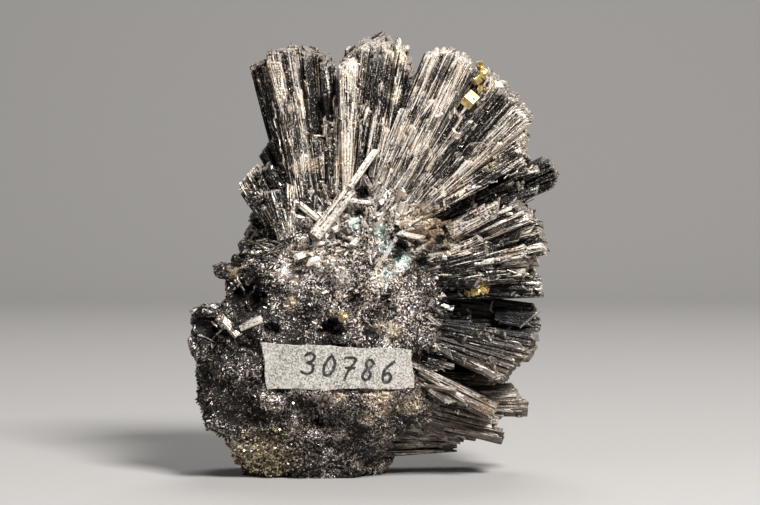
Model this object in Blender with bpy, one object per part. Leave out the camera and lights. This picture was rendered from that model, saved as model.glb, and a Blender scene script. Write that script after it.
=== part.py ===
"""Enargite specimen: a rosette of striated, blade-like enargite crystals that radiate from a
massive granular root, with brassy pyrite grains and a glued paper collection label.

Run with: blender --background --python part.py
Row frame: +Z up, the labelled face looks along -Y, and the specimen stands on the flat broken
face of its root at Z = 0. All tables are in millimetres and become metres in the meshes.
"""

import math
import random
from collections import namedtuple

import bmesh
import bpy
from mathutils import Matrix, Vector

MM = 0.001
SEED = 11
TOUCH_GAP = 0.3  # room kept between two pieces that touch
WELD = 0.004  # points this close after the joins are made one, which closes hair-thin necks
GROUND = 0.0  # height of the broken face that the specimen stands on

# Colours are linear RGB: (colour, roughness, metallic).
ENARGITE = ((0.12, 0.11, 0.105), 0.42, 0.75)
PYRITE = ((0.55, 0.43, 0.18), 0.3, 1.0)
PAPER = ((0.62, 0.59, 0.53), 0.9, 0.0)

# Six-sided outline of a crystal, as shares of its half width and half depth. The first corner is
# the sharp edge that faces forward, and the fourth is the one that faces back.
CRYSTAL_OUTLINE = ((0, -1), (1, -0.68), (0.92, 0.7), (0, 1), (-1, 0.62), (-0.94, -0.7))
OVERLAP = 0.62  # half width of a crystal as a share of its own breadth, so that neighbours merge
BREADTH_SPREAD = (0.55, 1.45)  # breadths of a fan's crystals as shares of their mean
DEPTH_SPREAD = (0.9, 1.05)  # thicknesses of a fan's crystals as shares of the fan's own
FACE_STEP = 0.3  # how far a crystal's face stands before or behind its fan's
TIP_JITTER = 0.9  # how far short a fan's crystal may fall
TIP_SLANT = 0.25  # sideways slope of the tips as a share of their spacing

# A fan is a row of crystals side by side. a and b are its upper or left edge and its other edge,
# each from root (x, z) to tip (x, z). arch lifts the middle of the tips, front is the depth y of
# the front face at root and tip, deep is its thickness at root and tip, rake sets the front of
# each tip back from its rear, and roll pushes edge a back at the tip.
Fan = namedtuple("Fan", "name a b arch front deep rake roll crystals")

FRONT_FANS = (
    Fan("left slab", ((-11.2, 35.2), (-18.4, 62.6)), ((-10.2, 35.2), (-15.4, 63.4)), 0.0,
        (-7.5, -7.2), (6.5, 7.0), 0.4, 3.2, 2),
    Fan("left columns", ((-10.4, 35.2), (-15.9, 64.3)), ((-7.4, 35.2), (-11.2, 65.0)), 0.2,
        (-8.5, -8.6), (6.5, 6.5), 0.8, 0.8, 4),
    Fan("stepped fan", ((-8.1, 35.2), (-10.8, 65.0)), ((-5.1, 35.2), (-6.0, 62.6)), 0.4,
        (-8.0, -7.6), (6.0, 6.5), 1.6, 0.4, 3),
    Fan("crown fan", ((-6.2, 35.2), (-5.7, 62.0)), ((-0.3, 36.8), (6.4, 60.6)), 6.2,
        (-9.0, -8.4), (6.5, 7.5), 2.6, 0.0, 6),
    Fan("great fan, upper", ((-3.6, 36.8), (6.7, 62.8)), ((0.9, 36.0), (15.2, 63.0)), 2.4,
        (-9.5, -9.6), (6.5, 7.0), 1.2, 0.0, 5),
    Fan("great fan, lower", ((0.6, 37.2), (15.8, 62.4)), ((2.7, 35.7), (24.2, 54.4)), 0.9,
        (-9.5, -10.6), (6.0, 7.0), 1.6, -0.6, 6),
    Fan("ribbed fan", ((3.6, 39.8), (23.0, 52.8)), ((4.2, 36.8), (22.4, 47.8)), 0.4,
        (-8.5, -9.0), (6.0, 6.0), 0.6, 0.4, 4),
    Fan("dark fan", ((5.4, 38.2), (25.8, 48.2)), ((6.9, 35.6), (27.4, 43.4)), 0.4,
        (-6.0, -4.6), (6.0, 6.0), 0.4, 0.0, 4),
    Fan("side fan, upper", ((6.2, 33.8), (21.7, 42.2)), ((6.9, 31.5), (24.3, 38.8)), 0.3,
        (-9.0, -11.0), (5.0, 6.0), 1.2, 0.6, 3),
    Fan("side fan, middle", ((6.2, 31.8), (25.1, 38.8)), ((6.2, 30.0), (26.2, 34.0)), 0.3,
        (-9.0, -10.6), (5.5, 6.0), 1.0, 0.5, 3),
    Fan("side fan, lower", ((5.4, 31.2), (24.3, 33.9)), ((5.4, 28.8), (22.6, 30.2)), 0.2,
        (-8.6, -9.0), (5.0, 5.5), 0.8, 0.6, 3),
    Fan("straight slab", ((3.9, 30.0), (24.5, 31.2)), ((3.9, 26.6), (25.3, 27.3)), 0.1,
        (-7.8, -7.0), (5.5, 6.0), 0.4, 0.3, 3),
    Fan("shaded fan", ((4.7, 25.2), (24.5, 25.7)), ((4.7, 21.8), (25.5, 21.8)), 0.2,
        (-5.4, -3.6), (6.0, 6.0), 0.4, 0.6, 3),
    Fan("lower right fan", ((5.4, 24.3), (25.6, 21.4)), ((4.7, 21.3), (19.5, 14.5)), 0.8,
        (-9.6, -10.4), (6.0, 7.0), 1.2, 0.6, 5),
    Fan("hidden blade", ((6.9, 16.4), (19.2, 15.9)), ((6.9, 14.1), (18.5, 13.8)), 0.1,
        (-5.0, -4.2), (5.0, 5.0), 0.2, 0.0, 2),
    Fan("slanting blade", ((3.9, 18.5), (18.6, 12.6)), ((3.2, 14.6), (17.9, 9.2)), 0.1,
        (-12.4, -10.4), (6.0, 4.5), 0.5, 0.6, 3),
    Fan("end block", ((8.4, 13.2), (21.8, 13.9)), ((8.4, 9.8), (23.6, 10.2)), 0.2,
        (-4.4, -1.4), (6.0, 6.0), 0.4, 0.5, 2),
    Fan("foot blades", ((0.2, 12.8), (18.8, 9.0)), ((-0.3, 6.4), (19.3, 5.2)), 0.2,
        (-8.4, -4.6), (7.0, 6.0), 0.5, 0.0, 4),
    Fan("foot blades, low", ((-0.6, 7.5), (14.2, 6.0)), ((-0.6, 4.0), (12.0, 3.9)), 0.1,
        (-5.6, -0.6), (6.0, 5.0), 0.3, 0.0, 2),
    Fan("left needles", ((-11.1, 37.6), (-16.7, 48.4)), ((-9.6, 39.4), (-14.4, 50.4)), 0.1,
        (-7.4, -7.0), (4.0, 4.0), 0.3, 0.8, 3),
    Fan("left stub", ((-14.1, 35.2), (-19.6, 44.2)), ((-11.8, 36.0), (-16.9, 46.8)), 0.2,
        (-8.8, -9.2), (4.5, 4.5), 0.5, 0.6, 2),
    Fan("left stub, rear", ((-12.6, 37.2), (-16.8, 46.3)), ((-11.4, 38.0), (-14.6, 46.3)), 0.1,
        (-5.4, -4.6), (4.0, 4.0), 0.2, 0.0, 1),
    Fan("left ledge", ((-14.0, 34.0), (-20.0, 35.2)), ((-14.0, 31.2), (-19.6, 33.2)), 0.1,
        (-7.0, -6.6), (4.5, 4.0), 0.3, 0.2, 1),
    Fan("left nub", ((-17.6, 32.4), (-24.1, 31.6)), ((-17.6, 29.0), (-23.7, 29.8)), 0.1,
        (-5.8, -5.0), (5.0, 4.0), 0.3, 0.2, 2),
    Fan("left knob", ((-19.5, 25.8), (-27.2, 25.9)), ((-19.5, 21.4), (-27.6, 22.2)), 0.2,
        (-8.4, -8.0), (6.0, 5.5), 0.8, 0.3, 2),
    Fan("left knob, lower", ((-20.2, 21.6), (-27.6, 21.3)), ((-19.4, 18.6), (-25.2, 17.8)), 0.1,
        (-8.8, -8.2), (5.5, 5.0), 0.6, 0.3, 1),
)

INNER_FANS = (
    Fan("inner top left", ((-10.0, 33.0), (-17.4, 60.6)), ((-6.0, 33.0), (-6.6, 61.0)), 0.8,
        (-3.2, -2.4), (8.0, 8.0), 0.8, 0.0, 4),
    Fan("inner top", ((-6.0, 33.0), (-5.1, 61.8)), ((-2.0, 33.0), (5.0, 61.4)), 4.0,
        (-2.8, -2.2), (8.0, 8.0), 0.8, 0.0, 4),
    Fan("inner upper right", ((-3.0, 34.0), (7.6, 62.0)), ((1.0, 34.0), (15.4, 61.0)), 1.8,
        (-3.6, -3.4), (8.0, 8.0), 0.8, 0.0, 3),
    Fan("inner right shoulder", ((0.0, 33.0), (16.8, 59.6)), ((3.0, 32.0), (23.0, 53.4)), 0.6,
        (-4.2, -4.2), (8.0, 8.0), 0.6, 0.0, 4),
    Fan("inner right", ((3.0, 33.0), (22.4, 51.0)), ((4.0, 30.0), (25.0, 43.6)), 0.5,
        (-2.4, -1.4), (8.0, 7.0), 0.5, 0.0, 4),
    Fan("inner side", ((4.0, 31.0), (23.0, 41.0)), ((4.0, 27.4), (24.4, 28.6)), 0.6,
        (-4.0, -3.6), (8.0, 7.5), 0.5, 0.0, 4),
    Fan("inner lower", ((4.0, 24.2), (24.2, 24.8)), ((4.0, 19.0), (21.6, 16.6)), 0.6,
        (0.0, 0.6), (7.0, 6.5), 0.5, 0.0, 3),
    Fan("inner foot", ((2.0, 15.0), (20.4, 13.0)), ((2.0, 7.4), (17.6, 6.2)), 0.3,
        (-1.0, 1.4), (6.0, 6.0), 0.4, 0.0, 3),
    Fan("inner left", ((-12.0, 36.0), (-18.2, 43.4)), ((-12.0, 29.0), (-19.0, 33.4)), 0.5,
        (-3.4, -3.0), (8.0, 7.0), 0.5, 0.0, 3),
)

BACK_FANS = (
    Fan("back left", ((-12.0, 33.0), (-16.6, 55.4)), ((-8.0, 33.0), (-7.4, 58.2)), 1.2,
        (3.4, 6.8), (6.5, 6.0), -2.4, 0.0, 4),
    Fan("back top", ((-8.0, 33.0), (-6.2, 58.4)), ((-3.0, 33.0), (5.2, 57.6)), 2.4,
        (3.6, 7.2), (6.5, 6.5), -2.8, 0.0, 4),
    Fan("back shoulder", ((-3.0, 33.0), (6.6, 58.2)), ((1.0, 33.0), (17.4, 54.2)), 1.4,
        (3.4, 6.4), (6.5, 6.5), -2.6, 0.0, 4),
    Fan("back right", ((1.0, 33.0), (18.6, 53.0)), ((2.0, 30.0), (22.8, 41.2)), 1.2,
        (3.2, 5.8), (6.5, 6.0), -2.2, 0.0, 4),
    Fan("back side", ((2.0, 30.0), (22.6, 39.6)), ((2.0, 27.0), (22.6, 29.6)), 0.8,
        (3.2, 5.2), (6.5, 6.0), -2.0, 0.0, 3),
    Fan("back lower", ((2.0, 23.0), (22.2, 23.6)), ((1.0, 17.0), (19.0, 14.4)), 0.8,
        (3.6, 5.4), (6.5, 6.0), -2.0, 0.0, 3),
    Fan("back foot", ((0.0, 15.0), (18.4, 12.8)), ((-2.0, 7.0), (13.8, 5.0)), 0.6,
        (3.2, 4.6), (6.5, 6.0), -1.6, 0.0, 3),
)

# Stout crystals that point back from the rosette's heart, as rings of (lean, count, reach, radius).
# lean is the angle from the back (+Y) direction.
HEART = Vector((-5.0, 0.0, 32.0))
BACK_RINGS = (
    (18.0, 4, 12.9, 2.8),
    (44.0, 8, 16.8, 2.8),
    (64.0, 10, 20.0, 2.8),
)
BACK_START = 2.0  # distance from the heart at which these crystals begin
BACK_TAPER = (0.45, 0.9)  # half width at root and tip as shares of the ring's radius
BACK_TIP = (0.4, 0.3)  # rake and slant of their tips
TURN_WOBBLE = 0.15  # how far a crystal turns from its even place in the ring, in places
LEAN_WOBBLE = 4.0  # how far it leans from the ring's lean, in degrees
REACH_MEAN = 0.98  # its mean reach as a share of the ring's
REACH_WOBBLE = 0.06

# Single pale blades that lie across the front: (root, tip) points, half width, half depth.
LOOSE_BLADES = (
    ((-5.0, -8.6, 40.8), (0.1, -11.6, 49.8), 0.75, 0.5),
    ((-9.0, -9.6, 35.0), (-3.4, -11.2, 43.2), 1.15, 0.8),
    ((-4.2, -9.8, 42.2), (-0.4, -11.0, 41.6), 0.3, 0.25),
    ((-12.4, -8.0, 36.6), (-12.5, -10.2, 44.4), 0.75, 0.6),
    ((-13.2, -8.2, 36.2), (-15.4, -9.2, 43.6), 1.4, 1.2),
    ((-21.0, -9.6, 23.4), (-16.6, -11.8, 24.2), 0.55, 0.5),
    ((-20.0, -9.6, 21.4), (-22.6, -10.6, 24.0), 0.6, 0.5),
)
BLADE_TIP = (0.1, 0.2)  # rake and slant of their tips
BLADE_TURN = 0.3  # how far a blade's breadth turns towards the back, in mm over its length

# The granular root, as level sections: height, x from and to, front y, back y.
Section = namedtuple("Section", "z left right front back")
ROOT_SECTIONS = (
    Section(-1.2, -20.0, 2.4, -5.8, 8.6),
    Section(1.5, -21.0, 3.6, -7.6, 9.4),
    Section(5.0, -22.8, 5.2, -10.0, 10.4),
    Section(8.5, -25.6, 6.8, -12.0, 11.2),
    Section(12.5, -26.3, 9.0, -13.5, 11.8),
    Section(17.0, -25.9, 10.0, -13.9, 12.0),
    Section(21.5, -24.6, 10.0, -13.6, 11.8),
    Section(26.0, -22.2, 9.8, -12.4, 11.2),
    Section(30.5, -20.6, 9.6, -11.0, 10.2),
    Section(35.0, -19.2, 8.6, -9.8, 8.8),
    Section(39.0, -16.8, 6.6, -9.0, 7.4),
    Section(42.2, -11.6, 3.0, -7.6, 5.4),
)
SECTION_CORNERS = 30
SQUARENESS = 4.6  # exponent of the superellipse that each section follows
RINGS_PER_SECTION = 2
# Lumps on the root, as waves through space: (radians per mm along x, y, z), phase, height.
LUMP_WAVES = (
    ((0.20, -0.25, 0.33), 0.9, 0.60),
    ((0.55, 0.31, 0.62), 0.4, 0.55),
    ((-0.42, 0.77, 0.35), 1.9, 0.45),
    ((1.05, -0.40, -0.70), 3.1, 0.30),
    ((0.35, 1.20, -1.10), 5.2, 0.22),
    ((-1.50, 0.90, 1.30), 2.2, 0.18),
)

# Pits in the root: centre (x, y, z), radius across, depth radius.
PITS = (
    ((-6.9, -14.2, 22.9), 1.3, 3.0),
    ((-15.4, -13.2, 23.2), 1.1, 2.0),
    ((-18.2, -9.6, 38.2), 2.0, 3.2),
    ((-8.8, -13.4, 9.4), 0.9, 1.8),
    ((-3.6, -9.4, 41.0), 0.9, 2.4),
    ((2.4, -12.0, 35.4), 0.8, 1.8),
    ((6.6, -11.6, 33.0), 0.9, 1.8),
)
PIT_HEIGHT = 0.9  # a pit's height as a share of its breadth

# Paper label: corners (x, z) from the upper left, clockwise.
LABEL_CORNERS = ((-16.6, 21.0), (5.5, 20.0), (6.0, 14.2), (-15.9, 14.1))
LABEL_THICK = 0.2
LABEL_FRONT = -14.4  # depth of the label's front face at its middle
LABEL_BEND = 0.006  # how fast the label curves back towards its ends, per mm
LABEL_COLUMNS = 10
SEAT_MARGIN = 0.6  # bare root all round the label
SEAT_REACH = 4.0  # how far in front of the label nothing stands

GROUND_SPAN = 90.0  # breadth of the slab that cuts the foot flat
GROUND_THICK = 10.0

# Pyrite crystals by cluster: centre (x, y, z), edge length, turn about Z and X in degrees.
PYRITE_CLUSTERS = {
    "pyrite_upper": (
        ((15.9, -10.4, 62.0), 1.3, 20, 15),
        ((16.1, -10.7, 60.6), 1.5, 50, 35),
        ((15.4, -10.6, 59.4), 1.3, 10, 50),
        ((15.9, -10.7, 58.3), 1.2, 35, 20),
        ((14.5, -10.6, 57.2), 1.9, 40, 30),
    ),
    "pyrite_side": (
        ((16.2, -7.9, 29.6), 1.5, 30, 25),
        ((16.4, -8.0, 28.5), 1.3, 55, 40),
        ((15.2, -7.9, 28.2), 1.3, 15, 30),
        ((14.2, -7.8, 28.1), 1.1, 40, 10),
    ),
    "pyrite_grain": (((-4.5, -13.5, 24.8), 1.0, 35, 30),),
}


def material(name, finish):
    colour, roughness, metallic = finish
    made = bpy.data.materials.new(name)
    made.use_nodes = True
    shader = made.node_tree.nodes["Principled BSDF"]
    shader.inputs["Base Color"].default_value = (*colour, 1.0)
    shader.inputs["Roughness"].default_value = roughness
    shader.inputs["Metallic"].default_value = metallic
    return made


def object_from(name, bm, finish=None):
    """The bmesh, in millimetres, as a named object in metres."""
    bmesh.ops.recalc_face_normals(bm, faces=bm.faces)
    bmesh.ops.scale(bm, vec=(MM, MM, MM), verts=bm.verts)
    mesh = bpy.data.meshes.new(name)
    bm.to_mesh(mesh)
    bm.free()
    made = bpy.data.objects.new(name, mesh)
    bpy.context.scene.collection.objects.link(made)
    if finish:
        made.data.materials.append(finish)
    return made


def helper(name, bm):
    """A cutter or a shape to join: it has no node of its own."""
    made = object_from(name, bm)
    made.hide_render = True
    made.display_type = "WIRE"
    return made


def boolean(target, other, operation, with_itself=False):
    step = target.modifiers.new(f"{operation.lower()} {other.name}", "BOOLEAN")
    step.operation = operation
    step.object = other
    step.solver = "EXACT"
    step.use_self = with_itself


def level(low, high, share):
    return low + (high - low) * share


def crystal(bm, root, tip, across, half_root, half_tip, rake, slant):
    """One six-sided crystal from root to tip. across is its width direction, half_root and
    half_tip are (half width, half depth) at each end, and rake and slant tilt the tip face."""
    axis = (tip - root).normalized()
    side = (across - axis * across.dot(axis)).normalized()
    rear = axis.cross(side).normalized()
    if rear.y < 0:
        rear = -rear
    rings = []
    for centre, (half_width, half_depth), is_tip in ((root, half_root, False), (tip, half_tip, True)):
        ring = []
        for u, v in CRYSTAL_OUTLINE:
            point = centre + side * (u * half_width) + rear * (v * half_depth)
            if is_tip:
                point += axis * (slant * u - rake * (1 - v) / 2)
            ring.append(bm.verts.new(point))
        rings.append(ring)
    lower, upper = rings
    bm.faces.new(lower)
    bm.faces.new(upper)
    for k in range(len(lower)):
        after = (k + 1) % len(lower)
        bm.faces.new((lower[k], lower[after], upper[after], upper[k]))


def fan_crystals(bm, fan, chance):
    """The crystals of a fan: crystal k runs from a point on the root line to one on the tip line."""
    (root_a, tip_a), (root_b, tip_b) = fan.a, fan.b
    root_pitch = math.dist(root_a, root_b) / fan.crystals
    tip_pitch = math.dist(tip_a, tip_b) / fan.crystals
    breadths = [chance.uniform(*BREADTH_SPREAD) for _ in range(fan.crystals)]
    passed = 0.0
    for breadth in breadths:
        share = (passed + breadth / 2) / sum(breadths)
        passed += breadth
        lift = fan.arch * (1 - (2 * share - 1) ** 2)
        step = chance.uniform(-FACE_STEP, FACE_STEP)
        root_x, root_z = (level(root_a[i], root_b[i], share) for i in (0, 1))
        tip_x, tip_z = (level(tip_a[i], tip_b[i], share) for i in (0, 1))
        wide = breadth * fan.crystals / sum(breadths) * OVERLAP
        half_root = (root_pitch * wide, fan.deep[0] / 2 * chance.uniform(*DEPTH_SPREAD))
        half_tip = (tip_pitch * wide, fan.deep[1] / 2 * chance.uniform(*DEPTH_SPREAD))
        root = Vector((root_x, fan.front[0] + fan.deep[0] / 2 + step, root_z))
        tip_y = fan.front[1] + fan.deep[1] / 2 + step + fan.roll * (1 - share)
        tip = Vector((tip_x, tip_y, tip_z))
        reach = lift - TIP_JITTER * chance.random() * chance.random()
        tip += (tip - root).normalized() * reach
        across = Vector((tip_b[0] - tip_a[0], -fan.roll, tip_b[1] - tip_a[1]))
        slant = chance.uniform(-TIP_SLANT, TIP_SLANT) * tip_pitch
        crystal(bm, root, tip, across, half_root, half_tip, fan.rake, slant)


def back_crystals(bm):
    """Stout crystals in rings about the +Y direction, from the heart out of the back."""
    for ring, (lean, count, reach, radius) in enumerate(BACK_RINGS):
        for k in range(count):
            wobble = TURN_WOBBLE * math.sin(5 * k + ring)
            turn = 2 * math.pi * (k + 0.5 * (ring % 2) + wobble) / count
            tilt = math.radians(lean + LEAN_WOBBLE * math.sin(3 * k + 2 * ring + 1))
            away = Vector((
                math.sin(tilt) * math.cos(turn),
                math.cos(tilt),
                math.sin(tilt) * math.sin(turn),
            ))
            length = reach * (REACH_MEAN + REACH_WOBBLE * math.sin(7 * k + ring))
            across = Vector((math.sin(turn), 0.15, -math.cos(turn)))
            half_root, half_tip = ((radius * share, radius * share) for share in BACK_TAPER)
            root, tip = HEART + away * BACK_START, HEART + away * length
            crystal(bm, root, tip, across, half_root, half_tip, *BACK_TIP)


def all_crystals():
    chance = random.Random(SEED)
    bm = bmesh.new()
    for fan in FRONT_FANS + INNER_FANS + BACK_FANS:
        fan_crystals(bm, fan, chance)
    back_crystals(bm)
    for root, tip, half_width, half_depth in LOOSE_BLADES:
        root, tip = Vector(root), Vector(tip)
        across = Vector((tip.z - root.z, BLADE_TURN, root.x - tip.x))
        half = (half_width, half_depth)
        crystal(bm, root, tip, across, half, half, *BLADE_TIP)
    return helper("crystals", bm)


def section_at(z):
    """The root's section at a height, between the two listed ones on either side."""
    for low, high in zip(ROOT_SECTIONS, ROOT_SECTIONS[1:]):
        if z <= high.z:
            share = (z - low.z) / (high.z - low.z)
            return Section(*(level(p, q, share) for p, q in zip(low, high)))
    return ROOT_SECTIONS[-1]


def lump_at(point):
    return sum(height * math.sin(Vector(wave).dot(point) + phase)
               for wave, phase, height in LUMP_WAVES)


def section_ring(bm, section):
    """A closed ring of a section: |x|^n + |y|^n = 1 stretched between its four limits, lumped."""
    centre_x = (section.left + section.right) / 2
    half_x = (section.right - section.left) / 2
    centre_y = (section.front + section.back) / 2
    half_y = (section.back - section.front) / 2
    ring = []
    for k in range(SECTION_CORNERS):
        turn = 2 * math.pi * k / SECTION_CORNERS
        c, s = math.cos(turn), math.sin(turn)
        size = (abs(c) ** SQUARENESS + abs(s) ** SQUARENESS) ** (-1 / SQUARENESS)
        point = Vector((centre_x + half_x * c * size, centre_y + half_y * s * size, section.z))
        outward = Vector((c, s, 0))
        ring.append(bm.verts.new(point + outward * lump_at(point)))
    return ring


def root_body(finish):
    """The granular root: rings joined from the base up, closed by a low crown."""
    bm = bmesh.new()
    steps = (len(ROOT_SECTIONS) - 1) * RINGS_PER_SECTION
    rings = []
    for k in range(steps + 1):
        place, share = divmod(k / RINGS_PER_SECTION, 1)
        low = ROOT_SECTIONS[int(place)]
        high = ROOT_SECTIONS[min(int(place) + 1, len(ROOT_SECTIONS) - 1)]
        rings.append(section_ring(bm, section_at(level(low.z, high.z, share))))
    for lower, upper in zip(rings, rings[1:]):
        for k in range(SECTION_CORNERS):
            after = (k + 1) % SECTION_CORNERS
            bm.faces.new((lower[k], lower[after], upper[after], upper[k]))
    bm.faces.new(rings[0])
    bm.faces.new(rings[-1])
    return object_from("enargite_cluster", bm, finish)


def pits():
    bm = bmesh.new()
    for (x, y, z), radius, depth in PITS:
        ball = bmesh.ops.create_icosphere(bm, subdivisions=1, radius=1.0)["verts"]
        bmesh.ops.scale(bm, vec=(radius, depth, radius * PIT_HEIGHT), verts=ball)
        bmesh.ops.translate(bm, vec=(x, y, z), verts=ball)
    return helper("pits", bm)


def below_ground():
    bm = bmesh.new()
    slab = bmesh.ops.create_cube(bm, size=1.0)["verts"]
    bmesh.ops.scale(bm, vec=(GROUND_SPAN, GROUND_SPAN, GROUND_THICK), verts=slab)
    bmesh.ops.translate(bm, vec=(0, 0, GROUND - GROUND_THICK / 2), verts=slab)
    return helper("ground", bm)


def label_depth(x):
    """Depth of the label's front face: nearly flat, and curving back towards both ends."""
    middle = (LABEL_CORNERS[0][0] + LABEL_CORNERS[1][0]) / 2
    return LABEL_FRONT + LABEL_BEND * (x - middle) ** 2


def label_sheet(bm, margin, front_gap, back_gap):
    """The label's outline grown by margin, from front_gap before its face to back_gap behind it."""
    (ax, az), (bx, bz), (cx, cz), (dx, dz) = LABEL_CORNERS
    layers = []
    for offset in (-front_gap, back_gap):
        rows = []
        for k in range(LABEL_COLUMNS + 1):
            share = k / LABEL_COLUMNS
            reach = (2 * share - 1) * margin
            top_x, low_x = level(ax, bx, share) + reach, level(dx, cx, share) + reach
            top = (top_x, label_depth(top_x) + offset, level(az, bz, share) + margin)
            low = (low_x, label_depth(low_x) + offset, level(dz, cz, share) - margin)
            rows.append((bm.verts.new(top), bm.verts.new(low)))
        layers.append(rows)
    front, back = layers
    for k in range(LABEL_COLUMNS):
        for rows in layers:
            bm.faces.new((rows[k][0], rows[k + 1][0], rows[k + 1][1], rows[k][1]))
        for edge in (0, 1):
            bm.faces.new((front[k][edge], front[k + 1][edge], back[k + 1][edge], back[k][edge]))
    for end in (0, LABEL_COLUMNS):
        bm.faces.new((front[end][0], back[end][0], back[end][1], front[end][1]))


def paper_label(finish):
    bm = bmesh.new()
    label_sheet(bm, 0.0, 0.0, LABEL_THICK)
    return object_from("paper_label", bm, finish)


def label_seat():
    """The room that the label needs in front of the root, with a gap all round."""
    bm = bmesh.new()
    label_sheet(bm, SEAT_MARGIN, SEAT_REACH, LABEL_THICK + TOUCH_GAP)
    return helper("label_seat", bm)


def cubes(cluster, grown):
    """Turned cubes, each face moved out by grown."""
    bm = bmesh.new()
    for (x, y, z), edge, turn, tip_over in cluster:
        cube = bmesh.ops.create_cube(bm, size=edge + 2 * grown)["verts"]
        for angle, axis in ((tip_over, "X"), (turn, "Z")):
            spin = Matrix.Rotation(math.radians(angle), 3, axis)
            bmesh.ops.rotate(bm, verts=cube, cent=(0, 0, 0), matrix=spin)
        bmesh.ops.translate(bm, vec=(x, y, z), verts=cube)
    return bm


def intergrown(name, cluster, grown, make):
    """The cubes of a cluster as one solid, made as an object by make."""
    joined = make(name, cubes(cluster[:1], grown))
    if len(cluster) > 1:
        rest = helper(f"{name}_rest", cubes(cluster[1:], grown))
        boolean(joined, rest, "UNION", with_itself=True)
    return joined


def pyrite(name, cluster, finish):
    """A cluster of pyrite cubes. Returns the pocket that it sits in, with a gap all round."""
    intergrown(name, cluster, 0.0, lambda made, bm: object_from(made, bm, finish))
    return intergrown(f"{name}_pocket", cluster, TOUCH_GAP, helper)


def islands(bm):
    """The separate closed skins of a bmesh, as lists of faces. Skins that only touch along an
    edge, which then has four faces, count as separate."""
    left, found = set(bm.faces), []
    while left:
        skin, edge_of_skin = [], [left.pop()]
        while edge_of_skin:
            face = edge_of_skin.pop()
            skin.append(face)
            for edge in face.edges:
                beside = left.intersection(edge.link_faces) if len(edge.link_faces) == 2 else ()
                left.difference_update(beside)
                edge_of_skin.extend(beside)
        found.append(skin)
    return found


def fill_sealed_gaps(target):
    """Runs the joins and cuts, then drops the skins of gaps shut in between the crystals."""
    graph = bpy.context.evaluated_depsgraph_get()
    bm = bmesh.new()
    bm.from_mesh(target.evaluated_get(graph).to_mesh())
    bmesh.ops.triangulate(bm, faces=bm.faces)
    bmesh.ops.remove_doubles(bm, verts=bm.verts, dist=WELD * MM)
    skins = sorted(islands(bm), key=len)
    for skin in skins[:-1]:
        bmesh.ops.delete(bm, geom=skin, context="FACES")
    target.modifiers.clear()
    bm.to_mesh(target.data)
    bm.free()


def build():
    for old in list(bpy.data.objects):
        bpy.data.objects.remove(old)
    enargite = material("enargite", ENARGITE)
    brassy = material("pyrite", PYRITE)
    paper = material("paper", PAPER)
    cluster = root_body(enargite)
    boolean(cluster, all_crystals(), "UNION", with_itself=True)
    boolean(cluster, pits(), "DIFFERENCE")
    boolean(cluster, label_seat(), "DIFFERENCE")
    for name, crystals in PYRITE_CLUSTERS.items():
        boolean(cluster, pyrite(name, crystals, brassy), "DIFFERENCE")
    boolean(cluster, below_ground(), "DIFFERENCE")
    fill_sealed_gaps(cluster)
    paper_label(paper)


build()
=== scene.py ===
"""The looks of an enargite specimen: fans of fine striated crystals on a granular root, pyrite
cubes, a brassy crust on the foot and a glued paper label.

Tables are in millimetres and meshes in metres. Every piece is worked out as whole numpy arrays.
"""

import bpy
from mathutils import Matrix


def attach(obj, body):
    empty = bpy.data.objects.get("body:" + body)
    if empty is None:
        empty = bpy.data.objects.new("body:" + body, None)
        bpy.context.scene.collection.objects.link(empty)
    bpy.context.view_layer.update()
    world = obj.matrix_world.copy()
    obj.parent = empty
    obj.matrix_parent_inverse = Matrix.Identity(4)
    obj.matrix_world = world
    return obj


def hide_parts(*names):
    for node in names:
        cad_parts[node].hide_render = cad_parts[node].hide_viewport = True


bl_info = {
    "name": "Enargite Specimen",
    "version": (1, 0, 0),
    "blender": (4, 5, 0),
    "location": "3D View > Sidebar > Specimen",
    "description": "Builds the crystals, granular root, pyrite and label of a mineral specimen",
    "category": "Mesh",
}

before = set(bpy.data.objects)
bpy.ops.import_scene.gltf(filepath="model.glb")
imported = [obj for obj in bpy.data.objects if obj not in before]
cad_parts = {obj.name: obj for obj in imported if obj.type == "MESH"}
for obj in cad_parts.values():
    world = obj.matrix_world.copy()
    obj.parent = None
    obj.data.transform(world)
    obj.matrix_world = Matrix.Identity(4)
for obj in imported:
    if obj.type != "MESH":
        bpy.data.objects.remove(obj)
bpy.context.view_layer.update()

import math
from collections import namedtuple
from functools import partial

import bpy
import numpy as np
from bpy.props import FloatProperty, FloatVectorProperty, IntProperty, PointerProperty
from mathutils import Vector
from mathutils.bvhtree import BVHTree

MM = 0.001
BODY = "root"
CLUSTER = "enargite_cluster"

# ---------------------------------------------------------------- the specimen's own dimensions

# A fan is a sheaf of crystals side by side. a and b are its upper or left edge and its other edge,
# each from root (x, z) to tip (x, z). arch lifts the middle of the tips, front is the depth y of
# the front face at root and tip, deep is the thickness at root and tip, rake sets the front of the
# tips back from the rear, and roll pushes edge a back at the tip. broken is the share of the front
# crystals that are snapped short, ragged the spread of the tips' heights, tone how light the
# crystals are, about -1 to 1, partly their own tone and partly painted light and shade over the
# whole fan, and stray how far the tips wander from where they would be.
Fan = namedtuple(
    "Fan", "name a b arch front deep rake roll broken ragged tone stray", defaults=(0.0,)
)

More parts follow.
